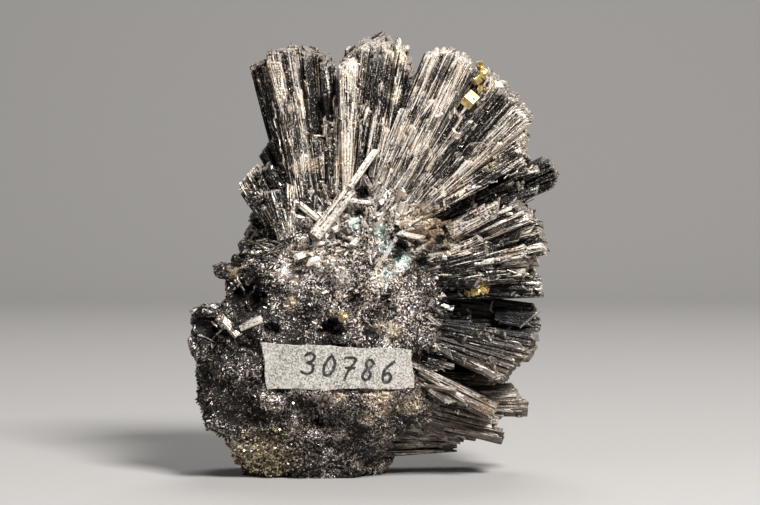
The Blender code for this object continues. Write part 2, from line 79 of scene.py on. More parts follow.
FRONT_FANS = (
    Fan("left slab", ((-11.2, 35.2), (-18.4, 62.6)), ((-10.2, 35.2), (-15.4, 63.4)), 0.0,
        (-7.5, -7.2), (6.5, 7.0), 0.4, 3.2, 0.25, 0.7, -1.1),
    Fan("left columns", ((-10.4, 35.2), (-15.9, 64.3)), ((-7.4, 35.2), (-11.2, 65.0)), 0.2,
        (-8.5, -8.6), (6.5, 6.5), 0.8, 0.8, 0.35, 1.0, 0.05),
    Fan("stepped fan", ((-8.1, 35.2), (-10.8, 65.0)), ((-5.1, 35.2), (-6.0, 62.6)), 0.4,
        (-8.0, -7.6), (6.0, 6.5), 1.6, 0.4, 0.2, 0.9, -0.05),
    Fan("crown fan", ((-6.2, 35.2), (-5.7, 62.0)), ((-0.3, 36.8), (6.4, 60.6)), 6.2,
        (-9.0, -8.4), (6.5, 7.5), 2.6, 0.0, 0.35, 0.8, -0.55),
    Fan("crown streak", ((-4.6, 42.0), (-5.2, 61.6)), ((-3.6, 42.0), (-2.4, 63.0)), 0.3,
        (-9.8, -9.4), (2.8, 2.8), 0.6, 0.0, 0.2, 0.9, 1.0),
    Fan("great streak", ((-2.4, 38.5), (8.7, 64.3)), ((-0.8, 38.2), (12.0, 64.7)), 0.3,
        (-9.9, -10.1), (2.8, 2.8), 0.8, 0.0, 0.15, 0.4, 0.9),
    Fan("great fan, upper", ((-3.6, 36.8), (8.0, 64.3)), ((0.9, 36.0), (14.9, 63.2)), 1.2,
        (-9.5, -9.6), (6.5, 7.0), 1.2, 0.0, 0.14, 0.25, 0.75),
    Fan("great fan, lower", ((0.6, 37.2), (15.8, 62.4)), ((2.7, 35.7), (24.2, 54.4)), 0.9,
        (-9.5, -10.6), (6.0, 7.0), 1.6, -0.6, 0.25, 0.35, 0.25),
    Fan("ribbed fan", ((3.6, 39.8), (23.0, 52.8)), ((4.2, 36.8), (22.4, 47.8)), 0.4,
        (-8.5, -9.0), (6.0, 6.0), 0.6, 0.4, 0.35, 0.7, -0.1),
    Fan("dark fan", ((5.4, 38.2), (25.6, 48.2)), ((6.9, 35.6), (27.0, 43.6)), 1.3,
        (-6.0, -4.6), (6.0, 6.0), 0.4, 0.0, 0.45, 1.2, -1.55),
    Fan("side fan, upper", ((6.2, 33.8), (21.7, 42.2)), ((6.9, 31.5), (24.3, 38.8)), 0.3,
        (-9.0, -11.0), (5.0, 6.0), 1.2, 0.6, 0.3, 0.5, -0.3),
    Fan("side fan, middle", ((6.2, 31.8), (25.1, 38.8)), ((6.2, 30.0), (26.2, 34.0)), 0.3,
        (-9.0, -10.6), (5.5, 6.0), 1.0, 0.5, 0.3, 0.5, -0.15),
    Fan("side fan, lower", ((5.4, 31.2), (24.3, 33.9)), ((5.4, 28.8), (22.6, 30.2)), 0.2,
        (-8.6, -9.0), (5.0, 5.5), 0.8, 0.6, 0.4, 1.1, -0.5),
    Fan("straight slab", ((3.9, 30.0), (24.5, 31.2)), ((3.9, 26.6), (25.3, 27.3)), 0.1,
        (-7.8, -7.0), (5.5, 6.0), 0.4, 0.3, 0.3, 0.8, -0.9),
    Fan("shaded fan", ((4.7, 28.6), (24.5, 25.7)), ((4.7, 21.8), (25.5, 21.8)), 0.2,
        (-5.4, -3.6), (6.0, 6.0), 0.4, 0.6, 0.5, 0.8, -2.3),
    Fan("lower right fan", ((5.4, 24.3), (25.6, 21.4)), ((4.7, 21.3), (19.5, 14.5)), 0.8,
        (-9.6, -10.4), (6.0, 7.0), 1.2, 0.6, 0.35, 0.6, -0.8),
    Fan("hidden blade", ((6.9, 16.4), (19.2, 15.9)), ((6.9, 14.1), (18.5, 13.8)), 0.1,
        (-5.0, -4.2), (5.0, 5.0), 0.2, 0.0, 0.3, 0.5, -0.9),
    Fan("slanting blade", ((3.9, 18.9), (18.7, 11.4)), ((3.2, 16.1), (17.7, 8.8)), 0.1,
        (-12.4, -10.4), (6.0, 4.5), 0.5, 0.6, 0.2, 0.5, 0.0),
    Fan("end block", ((8.4, 12.6), (21.8, 13.2)), ((8.4, 9.2), (23.6, 9.1)), 0.2,
        (-4.4, -1.4), (6.0, 6.0), 0.4, 0.5, 0.3, 0.5, -0.1),
    Fan("foot blades", ((-2.0, 16.0), (18.8, 9.2)), ((-1.6, 10.4), (19.3, 5.2)), 0.2,
        (-8.4, -4.6), (7.0, 6.0), 0.5, 0.0, 0.15, 1.3, 0.1, 0.25),
    Fan("foot blades, low", ((-1.6, 11.4), (15.4, 6.0)), ((-1.2, 2.9), (12.8, 3.7)), 0.1,
        (-5.6, -0.6), (6.0, 5.0), 0.3, 0.0, 0.15, 1.3, 0.1, 0.25),
    Fan("left needles", ((-11.1, 37.6), (-16.7, 48.4)), ((-9.6, 39.4), (-14.4, 50.4)), 0.1,
        (-7.4, -7.0), (4.0, 4.0), 0.3, 0.8, 0.3, 0.8, -0.45, 0.45),
    Fan("left stub", ((-14.1, 35.2), (-19.6, 44.2)), ((-11.8, 36.0), (-16.9, 46.8)), 0.2,
        (-8.8, -9.2), (4.5, 4.5), 0.5, 0.6, 0.2, 0.4, -0.5, 0.45),
    Fan("left stub, rear", ((-12.6, 37.2), (-16.8, 46.3)), ((-11.4, 38.0), (-14.6, 46.3)), 0.1,
        (-5.4, -4.6), (4.0, 4.0), 0.2, 0.0, 0.2, 0.5, -0.2, 0.45),
)

# The front fans in their order: the upper ones, then those at the side, then the left ones, which
# alone have no plates grown over them.
UPPER_FANS = 10
OVERGROWN_FANS = 21


def hidden_fans(rows, broken, tone):
    """Fans behind the front, from rows of name, a, b, arch, front, deep, rake and ragged: none of
    them rolls, and the tips of all wander a little."""
    return tuple(Fan(*row[:-1], 0.0, broken, row[-1], tone, 0.12) for row in rows)


INNER_FANS = hidden_fans((
    ("inner top left", ((-10.0, 33.0), (-17.4, 60.6)), ((-6.0, 33.0), (-6.6, 61.0)), 0.8,
        (-3.2, -2.4), (8.0, 8.0), 0.8, 2.0),
    ("inner top", ((-6.0, 33.0), (-5.1, 61.8)), ((-2.0, 33.0), (5.0, 61.4)), 4.0,
        (-2.8, -2.2), (8.0, 8.0), 0.8, 2.0),
    ("inner upper right", ((-3.0, 34.0), (7.6, 62.0)), ((1.0, 34.0), (15.4, 61.0)), 1.8,
        (-3.6, -3.4), (8.0, 8.0), 0.8, 1.8),
    ("inner right shoulder", ((0.0, 33.0), (16.8, 59.6)), ((3.0, 32.0), (23.0, 53.4)), 0.6,
        (-4.2, -4.2), (8.0, 8.0), 0.6, 1.8),
    ("inner right", ((3.0, 33.0), (22.4, 51.0)), ((4.0, 30.0), (25.0, 43.6)), 0.5,
        (-2.4, -1.4), (8.0, 7.0), 0.5, 1.8),
    ("inner side", ((4.0, 31.0), (23.0, 41.0)), ((4.0, 27.4), (24.4, 28.6)), 0.6,
        (-4.0, -3.6), (8.0, 7.5), 0.5, 1.6),
    ("inner lower", ((4.0, 24.2), (24.2, 24.8)), ((4.0, 19.0), (21.6, 16.6)), 0.6,
        (0.0, 0.6), (7.0, 6.5), 0.5, 1.6),
    ("inner foot", ((2.0, 15.0), (20.4, 13.0)), ((2.0, 7.4), (17.6, 6.2)), 0.3,
        (-1.0, 1.4), (6.0, 6.0), 0.4, 1.6),
    ("inner left", ((-12.0, 36.0), (-18.2, 43.4)), ((-12.0, 29.0), (-19.0, 33.4)), 0.5,
        (-3.4, -3.0), (8.0, 7.0), 0.5, 1.6),
), 0.2, -0.1)

BACK_FANS = hidden_fans((
    ("back left", ((-12.0, 33.0), (-16.6, 55.4)), ((-8.0, 33.0), (-7.4, 58.2)), 1.2,
        (3.4, 6.8), (6.5, 6.0), -2.4, 1.9),
    ("back top", ((-8.0, 33.0), (-6.2, 58.4)), ((-3.0, 33.0), (5.2, 57.6)), 2.4,
        (3.6, 7.2), (6.5, 6.5), -2.8, 1.9),
    ("back shoulder", ((-3.0, 33.0), (6.6, 58.2)), ((1.0, 33.0), (17.4, 54.2)), 1.4,
        (3.4, 6.4), (6.5, 6.5), -2.6, 1.9),
    ("back right", ((1.0, 33.0), (18.6, 53.0)), ((2.0, 30.0), (22.8, 41.2)), 1.2,
        (3.2, 5.8), (6.5, 6.0), -2.2, 1.9),
    ("back side", ((2.0, 30.0), (22.6, 39.6)), ((2.0, 27.0), (22.6, 29.6)), 0.8,
        (3.2, 5.2), (6.5, 6.0), -2.0, 1.7),
    ("back lower", ((2.0, 23.0), (22.2, 23.6)), ((1.0, 17.0), (19.0, 14.4)), 0.8,
        (3.6, 5.4), (6.5, 6.0), -2.0, 1.7),
    ("back foot", ((0.0, 15.0), (18.4, 12.8)), ((-2.0, 7.0), (13.8, 5.0)), 0.6,
        (3.2, 4.6), (6.5, 6.0), -1.6, 1.7),
), 0.25, 0.0)

# Parts of a fan whose front is snapped off: fan, shares across from and to, how deep, and the
# share of the crystals' length that is left.
LEDGES = (
    ("stepped fan", 0.1, 0.95, 1.5, 0.56),
    ("crown fan", 0.72, 1.0, 1.1, 0.62),
    ("great fan, lower", 0.0, 0.42, 1.8, 0.77),
    ("great fan, lower", 0.5, 0.7, 0.9, 0.62),
    ("side fan, middle", 0.3, 0.75, 1.2, 0.88),
    ("lower right fan", 0.0, 0.3, 1.4, 0.72),
)

# Blocky lumps on the left flank: centre, half sizes, how squarish, tip over in degrees, tone.
LUMPS = (
    ((-18.6, -6.4, 34.6), (1.9, 2.2, 1.3), 1.1, -10, 0.2),
    ((-19.4, -6.0, 33.2), (1.7, 2.0, 0.7), 1.3, 8, 0.0),
    ((-21.9, -5.0, 31.1), (2.3, 2.4, 1.25), 1.2, -6, 0.25),
    ((-21.0, -5.4, 29.0), (1.3, 1.8, 1.1), 1.0, 10, 0.0),
    ((-25.0, -6.4, 25.2), (2.3, 2.6, 1.0), 1.6, 8, 0.15),
    ((-25.6, -5.6, 22.6), (1.9, 2.2, 2.6), 1.3, 0, -0.25),
    ((-25.9, -6.6, 19.6), (1.7, 2.4, 2.1), 1.0, 18, 0.2),
    ((-22.0, -8.6, 24.0), (1.6, 1.6, 1.1), 1.2, 30, 0.3),
    ((-21.6, -8.8, 20.4), (1.8, 1.6, 1.3), 1.0, -20, 0.2),
    ((-17.4, -8.4, 42.4), (1.5, 1.8, 1.4), 1.2, 40, 0.35),
    ((-15.2, -8.6, 41.6), (1.7, 1.4, 1.0), 1.4, 20, 0.5),
)

# Broken pale rims across the fans: points (x, y, z), half width, tone. Their y is only about
# right, because they are laid on what is behind them.
RIMS = (
    (((-10.5, -8.6, 52.3), (-9.3, -8.7, 51.8), (-8.1, -8.7, 51.4), (-6.9, -8.7, 51.6),
      (-6.1, -8.6, 52.5), (-6.2, -8.4, 53.5), (-7.2, -8.3, 53.8)), 0.27, 1.1),
    (((10.6, -9.6, 39.4), (10.7, -9.9, 42.0), (14.4, -10.2, 43.6), (18.0, -10.2, 44.7),
      (23.8, -9.9, 47.0)), 0.2, 0.75),
    (((13.4, -10.2, 31.0), (16.6, -10.4, 31.2), (20.6, -10.4, 31.3), (23.6, -9.6, 30.4)), 0.2, 0.7),
    (((8.4, -10.3, 35.6), (12.0, -10.8, 36.8), (17.6, -11.6, 40.0), (21.4, -11.9, 42.2)), 0.14, 0.6),
    (((-27.4, -8.4, 25.2), (-26.0, -9.2, 26.0), (-23.6, -9.2, 26.3)), 0.2, 0.6),
    (((-27.5, -8.4, 23.6), (-26.6, -9.2, 21.9), (-24.4, -9.2, 20.9), (-23.0, -9.6, 22.4)), 0.18, 0.5),
    (((-26.8, -8.8, 24.2), (-23.6, -9.2, 23.4)), 0.14, 0.3),
    (((-20.4, -10.2, 30.4), (-18.6, -10.8, 25.6)), 0.2, 0.3),
    (((-17.6, -10.8, 29.4), (-19.8, -10.6, 25.4)), 0.16, 0.2),
    (((-15.2, -9.0, 56.6), (-14.6, -9.2, 52.0), (-13.2, -9.2, 46.8)), 0.12, 0.6),
)

# The pieces that the rims lie on, how far a rim may move on to them, and how far before
# them its middle line is.
RIM_BEDS = (
    "upper_front_fans", "side_front_fans", "left_front_stubs", "granular_root", "left_lumps",
)
RIM_REACH = 1.6
RIM_LIFT = 0.12

# Stout crystals that point back from the rosette's heart, as rings of (lean in degrees, count,
# reach, radius).
HEART = (-5.0, 0.0, 32.0)
BACK_RINGS = (
    (18.0, 4, 12.9, 2.8),
    (44.0, 8, 16.8, 2.8),
    (64.0, 10, 20.0, 2.8),
)

# Pale single blades that lie across the front: root, tip, half width, half depth, tone.
LOOSE_BLADES = (
    ((-3.6, -12.3, 44.0), (0.3, -11.2, 49.6), 0.5, 0.4, 1.1),
    ((-8.9, -12.0, 36.8), (-3.3, -11.2, 43.9), 1.05, 0.7, 0.3),
    ((-4.2, -11.4, 42.2), (-0.4, -11.6, 41.6), 0.3, 0.25, 1.0),
    ((-12.4, -10.6, 36.6), (-12.5, -10.2, 44.4), 0.7, 0.6, -0.4),
    ((-13.2, -10.4, 36.2), (-15.4, -9.8, 43.6), 1.3, 0.9, -1.1),
    ((-19.8, -13.2, 23.1), (-16.6, -14.1, 24.5), 0.5, 0.5, 1.2),
    ((-20.2, -12.9, 21.9), (-22.5, -12.2, 24.5), 0.5, 0.5, 1.1),
    ((11.4, -10.1, 37.0), (18.6, -11.7, 41.0), 1.35, 0.7, -0.1),
    ((0.2, -10.5, 31.6), (3.4, -11.7, 36.4), 0.35, 0.3, 0.5),
    ((-1.6, -10.4, 39.6), (-6.2, -11.2, 37.4), 0.45, 0.4, 0.8),
)

# The granular root, as level sections: height, x from and to, front y, back y. SQUARENESS is the
# power of their superellipses, and a lump wave is its wave vector, phase and height.
ROOT_SECTIONS = np.array((
    (-1.2, -19.0, -0.4, -5.8, 8.6),
    (1.5, -20.2, 0.8, -7.6, 9.4),
    (5.0, -21.8, 3.4, -10.0, 10.4),
    (6.6, -22.8, 5.0, -11.0, 10.8),
    (8.4, -25.4, 6.8, -12.0, 11.2),
    (12.5, -26.3, 9.0, -13.5, 11.8),
    (17.0, -25.9, 10.0, -13.9, 12.0),
    (21.5, -24.6, 10.0, -13.6, 11.8),
    (26.0, -22.2, 9.8, -12.4, 11.2),
    (30.5, -20.6, 9.6, -11.0, 10.2),
    (35.0, -19.2, 8.6, -9.8, 8.8),
    (39.0, -16.8, 6.6, -9.0, 7.4),
    (42.2, -11.6, 3.0, -7.6, 5.4),
))
SQUARENESS = 4.6
# The root's flat ends close over rows that would take up this much height, and the top bulges.
ROOT_CLOSING = 7
ROOT_BULGE = 0.9
LUMP_WAVES = (
    ((0.20, -0.25, 0.33), 0.9, 0.60),
    ((0.55, 0.31, 0.62), 0.4, 0.55),
    ((-0.42, 0.77, 0.35), 1.9, 0.45),
    ((1.05, -0.40, -0.70), 3.1, 0.30),
    ((0.35, 1.20, -1.10), 5.2, 0.22),
    ((-1.50, 0.90, 1.30), 2.2, 0.18),
)
# Pits: centre (x, y, z), radius across, depth radius.
PITS = (
    ((-6.3, -14.2, 22.8), 1.7, 3.6),
    ((-15.3, -13.2, 22.9), 1.2, 2.4),
    ((-18.0, -9.6, 37.6), 1.9, 3.4),
    ((-18.6, -11.0, 27.4), 2.2, 3.0),
    ((-8.2, -13.4, 8.8), 0.8, 1.8),
    ((-11.4, -13.4, 30.6), 1.0, 1.6),
    ((-1.8, -9.4, 42.6), 1.2, 2.6),
    ((-2.7, -9.8, 39.9), 0.9, 2.2),
    ((3.6, -12.0, 35.4), 1.2, 2.4),
    ((6.9, -11.6, 32.7), 1.2, 2.4),
    ((1.6, -12.6, 27.2), 0.9, 1.6),
    ((4.8, -12.0, 7.0), 0.8, 1.6),
    ((8.4, -11.0, 18.4), 1.5, 3.0),
)

# The middle of the front, where the fans meet, and how far its blades spread sideways and up.
HUB = (-0.5, -10.2, 35.0)
HUB_SPREAD = (8.5, 7.5)
# The grains are longer, slimmer and paler about this place, over this spread, their paleness partly
# painted light, and the crust on the foot is thickest about the other. Its cubes sink in towards the
# foot's heart.
GLITTER, GLITTER_SPREAD = (0.5, -10.0, 38.0), (9.0, 8.0, 7.0)
CRUST, CRUST_SPREAD = (-17.0, -8.0, 3.4), (3.8, 5.0, 3.4)
FOOT_HEART = (-10.0, 0.0, 5.0)

# Paper label: corners (x, z) from the upper left, clockwise.
LABEL_CORNERS = np.array(((-16.6, 21.0), (5.5, 20.0), (6.0, 14.2), (-15.9, 14.1)))
LABEL_THICK = 0.2
LABEL_FRONT = -14.4
LABEL_BEND = 0.006
# The label's grid: the spacing of its points, and the length and height that it counts on.
LABEL_STEP = 0.12
LABEL_LONG = 22.3
LABEL_TALL = 6.8
# No grain grows on the front between these x, level with the label.
LABEL_CLEAR = (-17.3, 6.6)

# How far forward, in y, the blades of the hub and of the fringe may reach.
HUB_FRONT = -12.6
FRINGE_FRONT = -12.4

# Pyrite crystals by node: centre (x, y, z), edge length, spin, tip over and turn in degrees.
PYRITE_CLUSTERS = {
    "pyrite_upper": (
        ((15.8, -10.4, 62.0), 1.0, 20, 48, -10),
        ((16.3, -10.7, 60.9), 1.1, 50, 35, 30),
        ((15.3, -10.6, 59.8), 1.1, 35, 84, 30),
        ((16.0, -10.7, 58.6), 0.9, 15, 20, 40),
        ((14.3, -11.0, 56.9), 1.9, 40, 60, 24),
    ),
    "pyrite_side": (
        ((16.2, -7.9, 29.6), 1.3, 30, 50, 30),
        ((16.5, -8.0, 28.5), 1.1, 15, 40, 55),
        ((15.2, -7.9, 28.2), 1.2, 10, 84, -4),
        ((14.2, -7.8, 28.1), 1.0, 40, 30, 10),
    ),
    "pyrite_grain": (((-4.5, -13.15, 24.8), 1.0, 30, 46, 34),),
}

# Where each stain, pale place and spot of painted shade lies: centre (x, y, z) and reach.
TAN_SPOTS = (
    ((-15.6, -8.0, 61.4), 2.2), ((-14.6, -8.4, 57.6), 1.8), ((-9.6, -8.4, 56.4), 1.6),
    ((4.0, -7.0, 64.0), 2.6), ((3.0, -8.0, 57.6), 1.6), ((-8.6, -8.3, 47.2), 1.6),
    ((-4.6, -9.4, 47.4), 2.4), ((7.4, -9.4, 38.4), 3.6), ((11.0, -9.0, 37.0), 2.8),
    ((20.5, -6.4, 24.4), 1.6), ((0.8, -12.4, 13.2), 3.4), ((-14.6, -8.8, 40.4), 1.8),
    ((-20.6, -6.4, 31.5), 1.8), ((-8.0, -12.2, 28.5), 1.4), ((17.0, -9.4, 48.0), 2.0),
    ((-5.6, -13.0, 25.4), 1.4), ((5.4, -11.8, 12.0), 2.6), ((-20.4, -8.6, 25.4), 1.6),
    ((3.0, -13.0, 22.2), 2.0), ((-5.0, -13.0, 12.8), 1.8), ((-12.4, -12.6, 26.6), 1.6),
    ((-1.0, -12.4, 9.6), 1.6), ((0.6, -13.0, 23.2), 1.6), ((-19.2, -10.4, 22.4), 1.4),
)
GREEN_SPOTS = (
    ((-3.0, -10.4, 38.5), 1.7), ((0.9, -10.6, 37.4), 1.7), ((1.8, -10.8, 35.0), 1.5),
    ((4.2, -10.8, 33.2), 1.8), ((1.9, -11.2, 31.4), 1.4), ((-13.4, -10.8, 32.0), 1.2),
    ((-11.0, -11.2, 34.6), 0.7),
)
# Pale places, partly dust and partly painted light: centre (x, y, z) and reach.
DUST_AND_LIGHT_SPOTS = (
    ((0.0, -10.0, 37.0), 11.0), ((-8.0, -11.0, 34.0), 8.0), ((5.0, -12.0, 24.0), 6.0),
    ((1.0, -7.0, 66.0), 5.0), ((-10.5, -8.0, 64.5), 3.0),
)
# Spots of painted shade, where the faces are darkened: centre (x, y, z) and reach.
SHADE_SPOTS = (
    ((-1.8, -10.4, 42.9), 2.4), ((3.7, -11.4, 35.4), 2.4), ((7.0, -11.2, 32.8), 2.2),
    ((-2.7, -10.8, 40.0), 1.8), ((2.4, -11.4, 36.4), 1.7), ((10.6, -10.2, 38.0), 2.6),
    ((9.0, -10.4, 35.4), 2.0),
    ((-18.8, -7.0, 58.6), 3.0), ((-17.2, -7.0, 53.6), 3.0), ((-15.6, -7.0, 48.6), 3.0),
    ((8.6, -10.4, 18.2), 2.6), ((22.0, -8.0, 28.0), 5.0), ((11.0, -8.0, 26.0), 5.0),
    ((-18.0, -9.0, 37.8), 3.2), ((-18.2, -10.0, 28.0), 4.6), ((-25.4, -8.4, 23.2), 3.0),
    ((-7.4, -8.0, 55.6), 3.6), ((-17.6, -8.0, 52.0), 3.4), ((-15.4, -9.0, 37.0), 1.8),
    ((6.0, -8.0, 55.4), 3.0), ((17.0, -8.0, 45.0), 4.0), ((13.0, -6.0, 25.0), 9.0),
    ((20.0, -6.0, 25.4), 8.0), ((24.0, -6.0, 25.6), 5.0), ((14.0, -5.0, 17.0), 3.6),
)
# Hollows between the crystals of the front, blacked out as painted shade: x, z and reach.
SHADED_HOLLOWS = (
    (-1.8, 43.2, 1.7), (-2.3, 40.0, 1.2), (4.2, 35.2, 1.9), (3.6, 33.8, 1.2), (7.0, 32.8, 1.7),
    (3.4, 37.6, 1.0), (10.0, 29.6, 1.2), (11.6, 29.3, 1.3), (13.2, 29.5, 1.1), (9.8, 36.2, 1.2),
    (-15.2, 36.6, 1.4), (0.2, 39.0, 0.7), (10.4, 11.4, 1.1), (11.8, 11.0, 1.2), (13.2, 10.5, 1.0),
)
RUST_SPOTS = (
    ((8.0, -9.8, 37.0), 3.0), ((10.4, -9.6, 39.2), 2.6), ((7.2, -9.6, 40.4), 1.8),
    ((-14.0, -8.6, 46.6), 1.6), ((-15.4, -8.2, 60.8), 1.2), ((5.4, -11.4, 14.6), 1.8),
    ((-20.8, -7.6, 30.6), 1.6), ((-9.8, -8.6, 58.4), 1.2), ((9.4, -9.4, 9.4), 1.6),
    ((13.4, -7.4, 7.4), 2.6), ((1.4, -12.4, 10.6), 1.4), ((16.6, -10.2, 11.0), 1.8),
)
BRASSY_SPOTS = (((-17.0, -8.0, 3.6), 6.4),)

# Tints that no setting holds.
BROWN_FILM = "#62574c"
WORN_END = "#857a6e"
WARM_FILM = "#f0d9b4"
COOL_FILM = "#c9d6e0"
PALE_TAN = "#f3e6cf"
BRASSY_ORE = "#8f816c"
PAINTED_HOLLOW_SHADE = "#050404"
PAPER_BLOTCH = "#b8b4ad"
BACKDROP_TOOTH = "#8f8c89"


def linear(code):
    """An sRGB hex colour as linear RGB."""
    value = [int(code[k : k + 2], 16) / 255 for k in (1, 3, 5)]
    return tuple(v / 12.92 if v <= 0.04045 else ((v + 0.055) / 1.055) ** 2.4 for v in value)


def colour(name, description, code):
    return FloatVectorProperty(
        name=name, description=description, subtype="COLOR", size=3, min=0, max=1,
        default=linear(code),
    )


def length(name, description, millimetres):
    return FloatProperty(
        name=name, description=description, unit="LENGTH", min=0.00002, precision=5,
        default=millimetres * MM,
    )


# ---------------------------------------------------------------- settings


class CrystalSettings(bpy.types.PropertyGroup):
    breadth: length("Crystal breadth", "Mean breadth of one fine crystal at a fan's rim", 0.34)
    layer: length("Layer depth", "Depth from one layer of crystals to the next", 1.4)
    rear_breadth: length("Rear breadth", "Mean breadth of the crystals behind the front", 0.55)
    specks: IntProperty(
        name="Specks", description="Broken grains lying on the fans", default=9000, min=0
    )
    speck: length("Speck length", "Mean length of a grain lying on the fans", 0.2)
    hub_blades: IntProperty(
        name="Hub blades", description="Pale blades where the fans meet", default=800, min=0
    )
    # The darkest colour also stands for painted shade, where the deeper layers, the foot, the left
    # flank and the shade spots are darkened.
    dark: colour("Tarnish", "Colour of the darkest crystal faces", "#161413")
    middle: colour("Face", "Colour of most crystal faces", "#6d655d")
    light: colour("Bright face", "Colour of the brightest crystal faces", "#e8ded2")
    dust: colour("Broken ends", "Colour of the bruised crystal ends", "#c6bdb3")
    tan: colour("Iron stain", "Colour of the iron oxide stains", "#a08563")
    rust: colour("Rust", "Colour of the deeper iron stains", "#8f7154")
    rust_shade: colour("Deep rust", "Colour of the darkest iron stains", "#241911")
    green: colour("Copper bloom", "Colour of the pale copper bloom", "#cfe4de")


class RootSettings(bpy.types.PropertyGroup):
    step: length("Surface step", "Spacing of the points on the root's surface", 0.27)
    grains: IntProperty(
        name="Grains", description="Crystal grains strewn on the root", default=26000, min=0
    )
    grain: length("Grain length", "Mean length of a grain on the root", 0.33)
    # The hollows' colour is painted shade between the grains, and the glints are painted highlights on
    # them.
    shade: colour("Hollows", "Colour between the grains", "#1b1816")
    stone: colour("Granular ore", "Colour of the granular ore", "#625954")
    glint: colour("Glints", "Colour of the bright specks", "#d3cac3")


class PyriteSettings(bpy.types.PropertyGroup):
    rounding: FloatProperty(
        name="Edge rounding", description="Rounding as a share of half an edge", default=0.12,
        min=0.01, max=0.5,
    )
    crust: IntProperty(name="Crust grains", description="Cubes on the foot", default=1150, min=0)
    fresh: colour("Fresh face", "Colour of clean pyrite", "#f1dda2")
    tarnished: colour("Tarnish", "Colour of tarnished pyrite", "#94733a")
    crust_face: colour("Crust", "Colour of the crust's bright grains", "#efe1c0")
    crust_dull: colour("Dull crust", "Colour of the crust's dull grains", "#a39579")


class LabelSettings(bpy.types.PropertyGroup):
    stroke: length("Pen stroke", "Breadth of the pen's stroke", 0.44)
    paper: colour("Paper", "Colour of the aged paper", "#8a867f")
    fleck: colour("Flecks", "Colour of the paper's fibres and dirt", "#5a544e")
    ink: colour("Ink", "Colour of the ink", "#1b181a")


class StageSettings(bpy.types.PropertyGroup):
    floor: colour("Floor", "Colour of the floor and backdrop", "#9a9794")
    sky: colour("Surroundings", "Colour of the light from all round", "#c9ccd2")


# ---------------------------------------------------------------- shapes


def level(low, high, share):
    """The value at a share of the way from low to high."""
    return low + (high - low) * share


def unit(vectors):
    """Vectors over their own lengths."""
    return vectors / np.maximum(np.linalg.norm(vectors, axis=-1, keepdims=True), 1e-12)


def ease(value, low, high):
    """0 below low and 1 above high, with the curve 3t^2 - 2t^3 between."""
    t = np.clip((value - low) / (high - low), 0, 1)
    return t * t * (3 - 2 * t)


def noise(points, size, seed):
    """Smooth noise from -1 to 1: a random value at each corner of cubes of that size, blended
    inside each cube with the weights 3t^2 - 2t^3."""
    place = np.asarray(points) / size
    cell = np.floor(place).astype(np.int64)
    t = place - cell
    t = t * t * (3 - 2 * t)
    total = np.zeros(place.shape[:-1])
    for corner in np.ndindex(2, 2, 2):
        key = ((cell + corner) * (73856093, 19349663, 83492791)).sum(-1) + seed * 9176263
        key = (key ^ (key >> 13)) * 1274126177 & 0x7FFFFFFF
        value = ((key ^ (key >> 15)) & 0xFFFF) / 32767.5 - 1
        total += value * np.prod(np.where(corner, t, 1 - t), axis=-1)
    return total


# A shape: points (V, 3) in millimetres, faces (F, 4) as point numbers, places (F, 4, 2) on the
# striation map in millimetres, and marks, the named values of the points.
Shape = namedtuple("Shape", "points faces places marks")


def joined(shapes):
    """Several shapes as one: the arrays end to end, with each shape's point numbers moved up."""
    starts = np.cumsum([0] + [len(shape.points) for shape in shapes[:-1]])
    return Shape(
        np.concatenate([shape.points for shape in shapes]),
        np.concatenate([shape.faces + start for shape, start in zip(shapes, starts)]),
        np.concatenate([shape.places for shape in shapes]),
        {name: np.concatenate([shape.marks[name] for shape in shapes]) for name in shapes[0].marks},
    )


def ladder(corners):
    """A ring of an even number of corners closed by quads: rung k joins corners k and k + 1 to
    those opposite."""
    k = np.arange(corners // 2 - 1)
    return np.stack((k, k + 1, corners - 2 - k, corners - 1 - k), 1)


def tube_faces(rings, corners):
    """The quads of a tube: a ring of corners after another, with a ladder across either end."""
    ring, corner = np.meshgrid(np.arange(rings - 1), np.arange(corners), indexing="ij")
    here, after = ring * corners + corner, ring * corners + (corner + 1) % corners
    sides = np.stack((here, after, after + corners, here + corners), -1).reshape(-1, 4)
    cap = ladder(corners)
    return np.concatenate((sides, cap + (rings - 1) * corners, cap[:, ::-1]))


def grid_faces(rows, columns):
    """The quads of an open grid of points, numbered row after row."""
    row, column = np.meshgrid(np.arange(rows - 1), np.arange(columns - 1), indexing="ij")
    here = row * columns + column
    return np.stack((here, here + columns, here + columns + 1, here + 1), -1).reshape(-1, 4)


def passed(line):
    """The length of a line of points, passed by each point."""
    return np.concatenate(([0], np.cumsum(np.linalg.norm(np.diff(line, axis=0), axis=1))))


# On the striation map each crystal starts this far from the last one, and comes round at the wrap.
MAP_STEP = 0.777
MAP_WRAP = 50


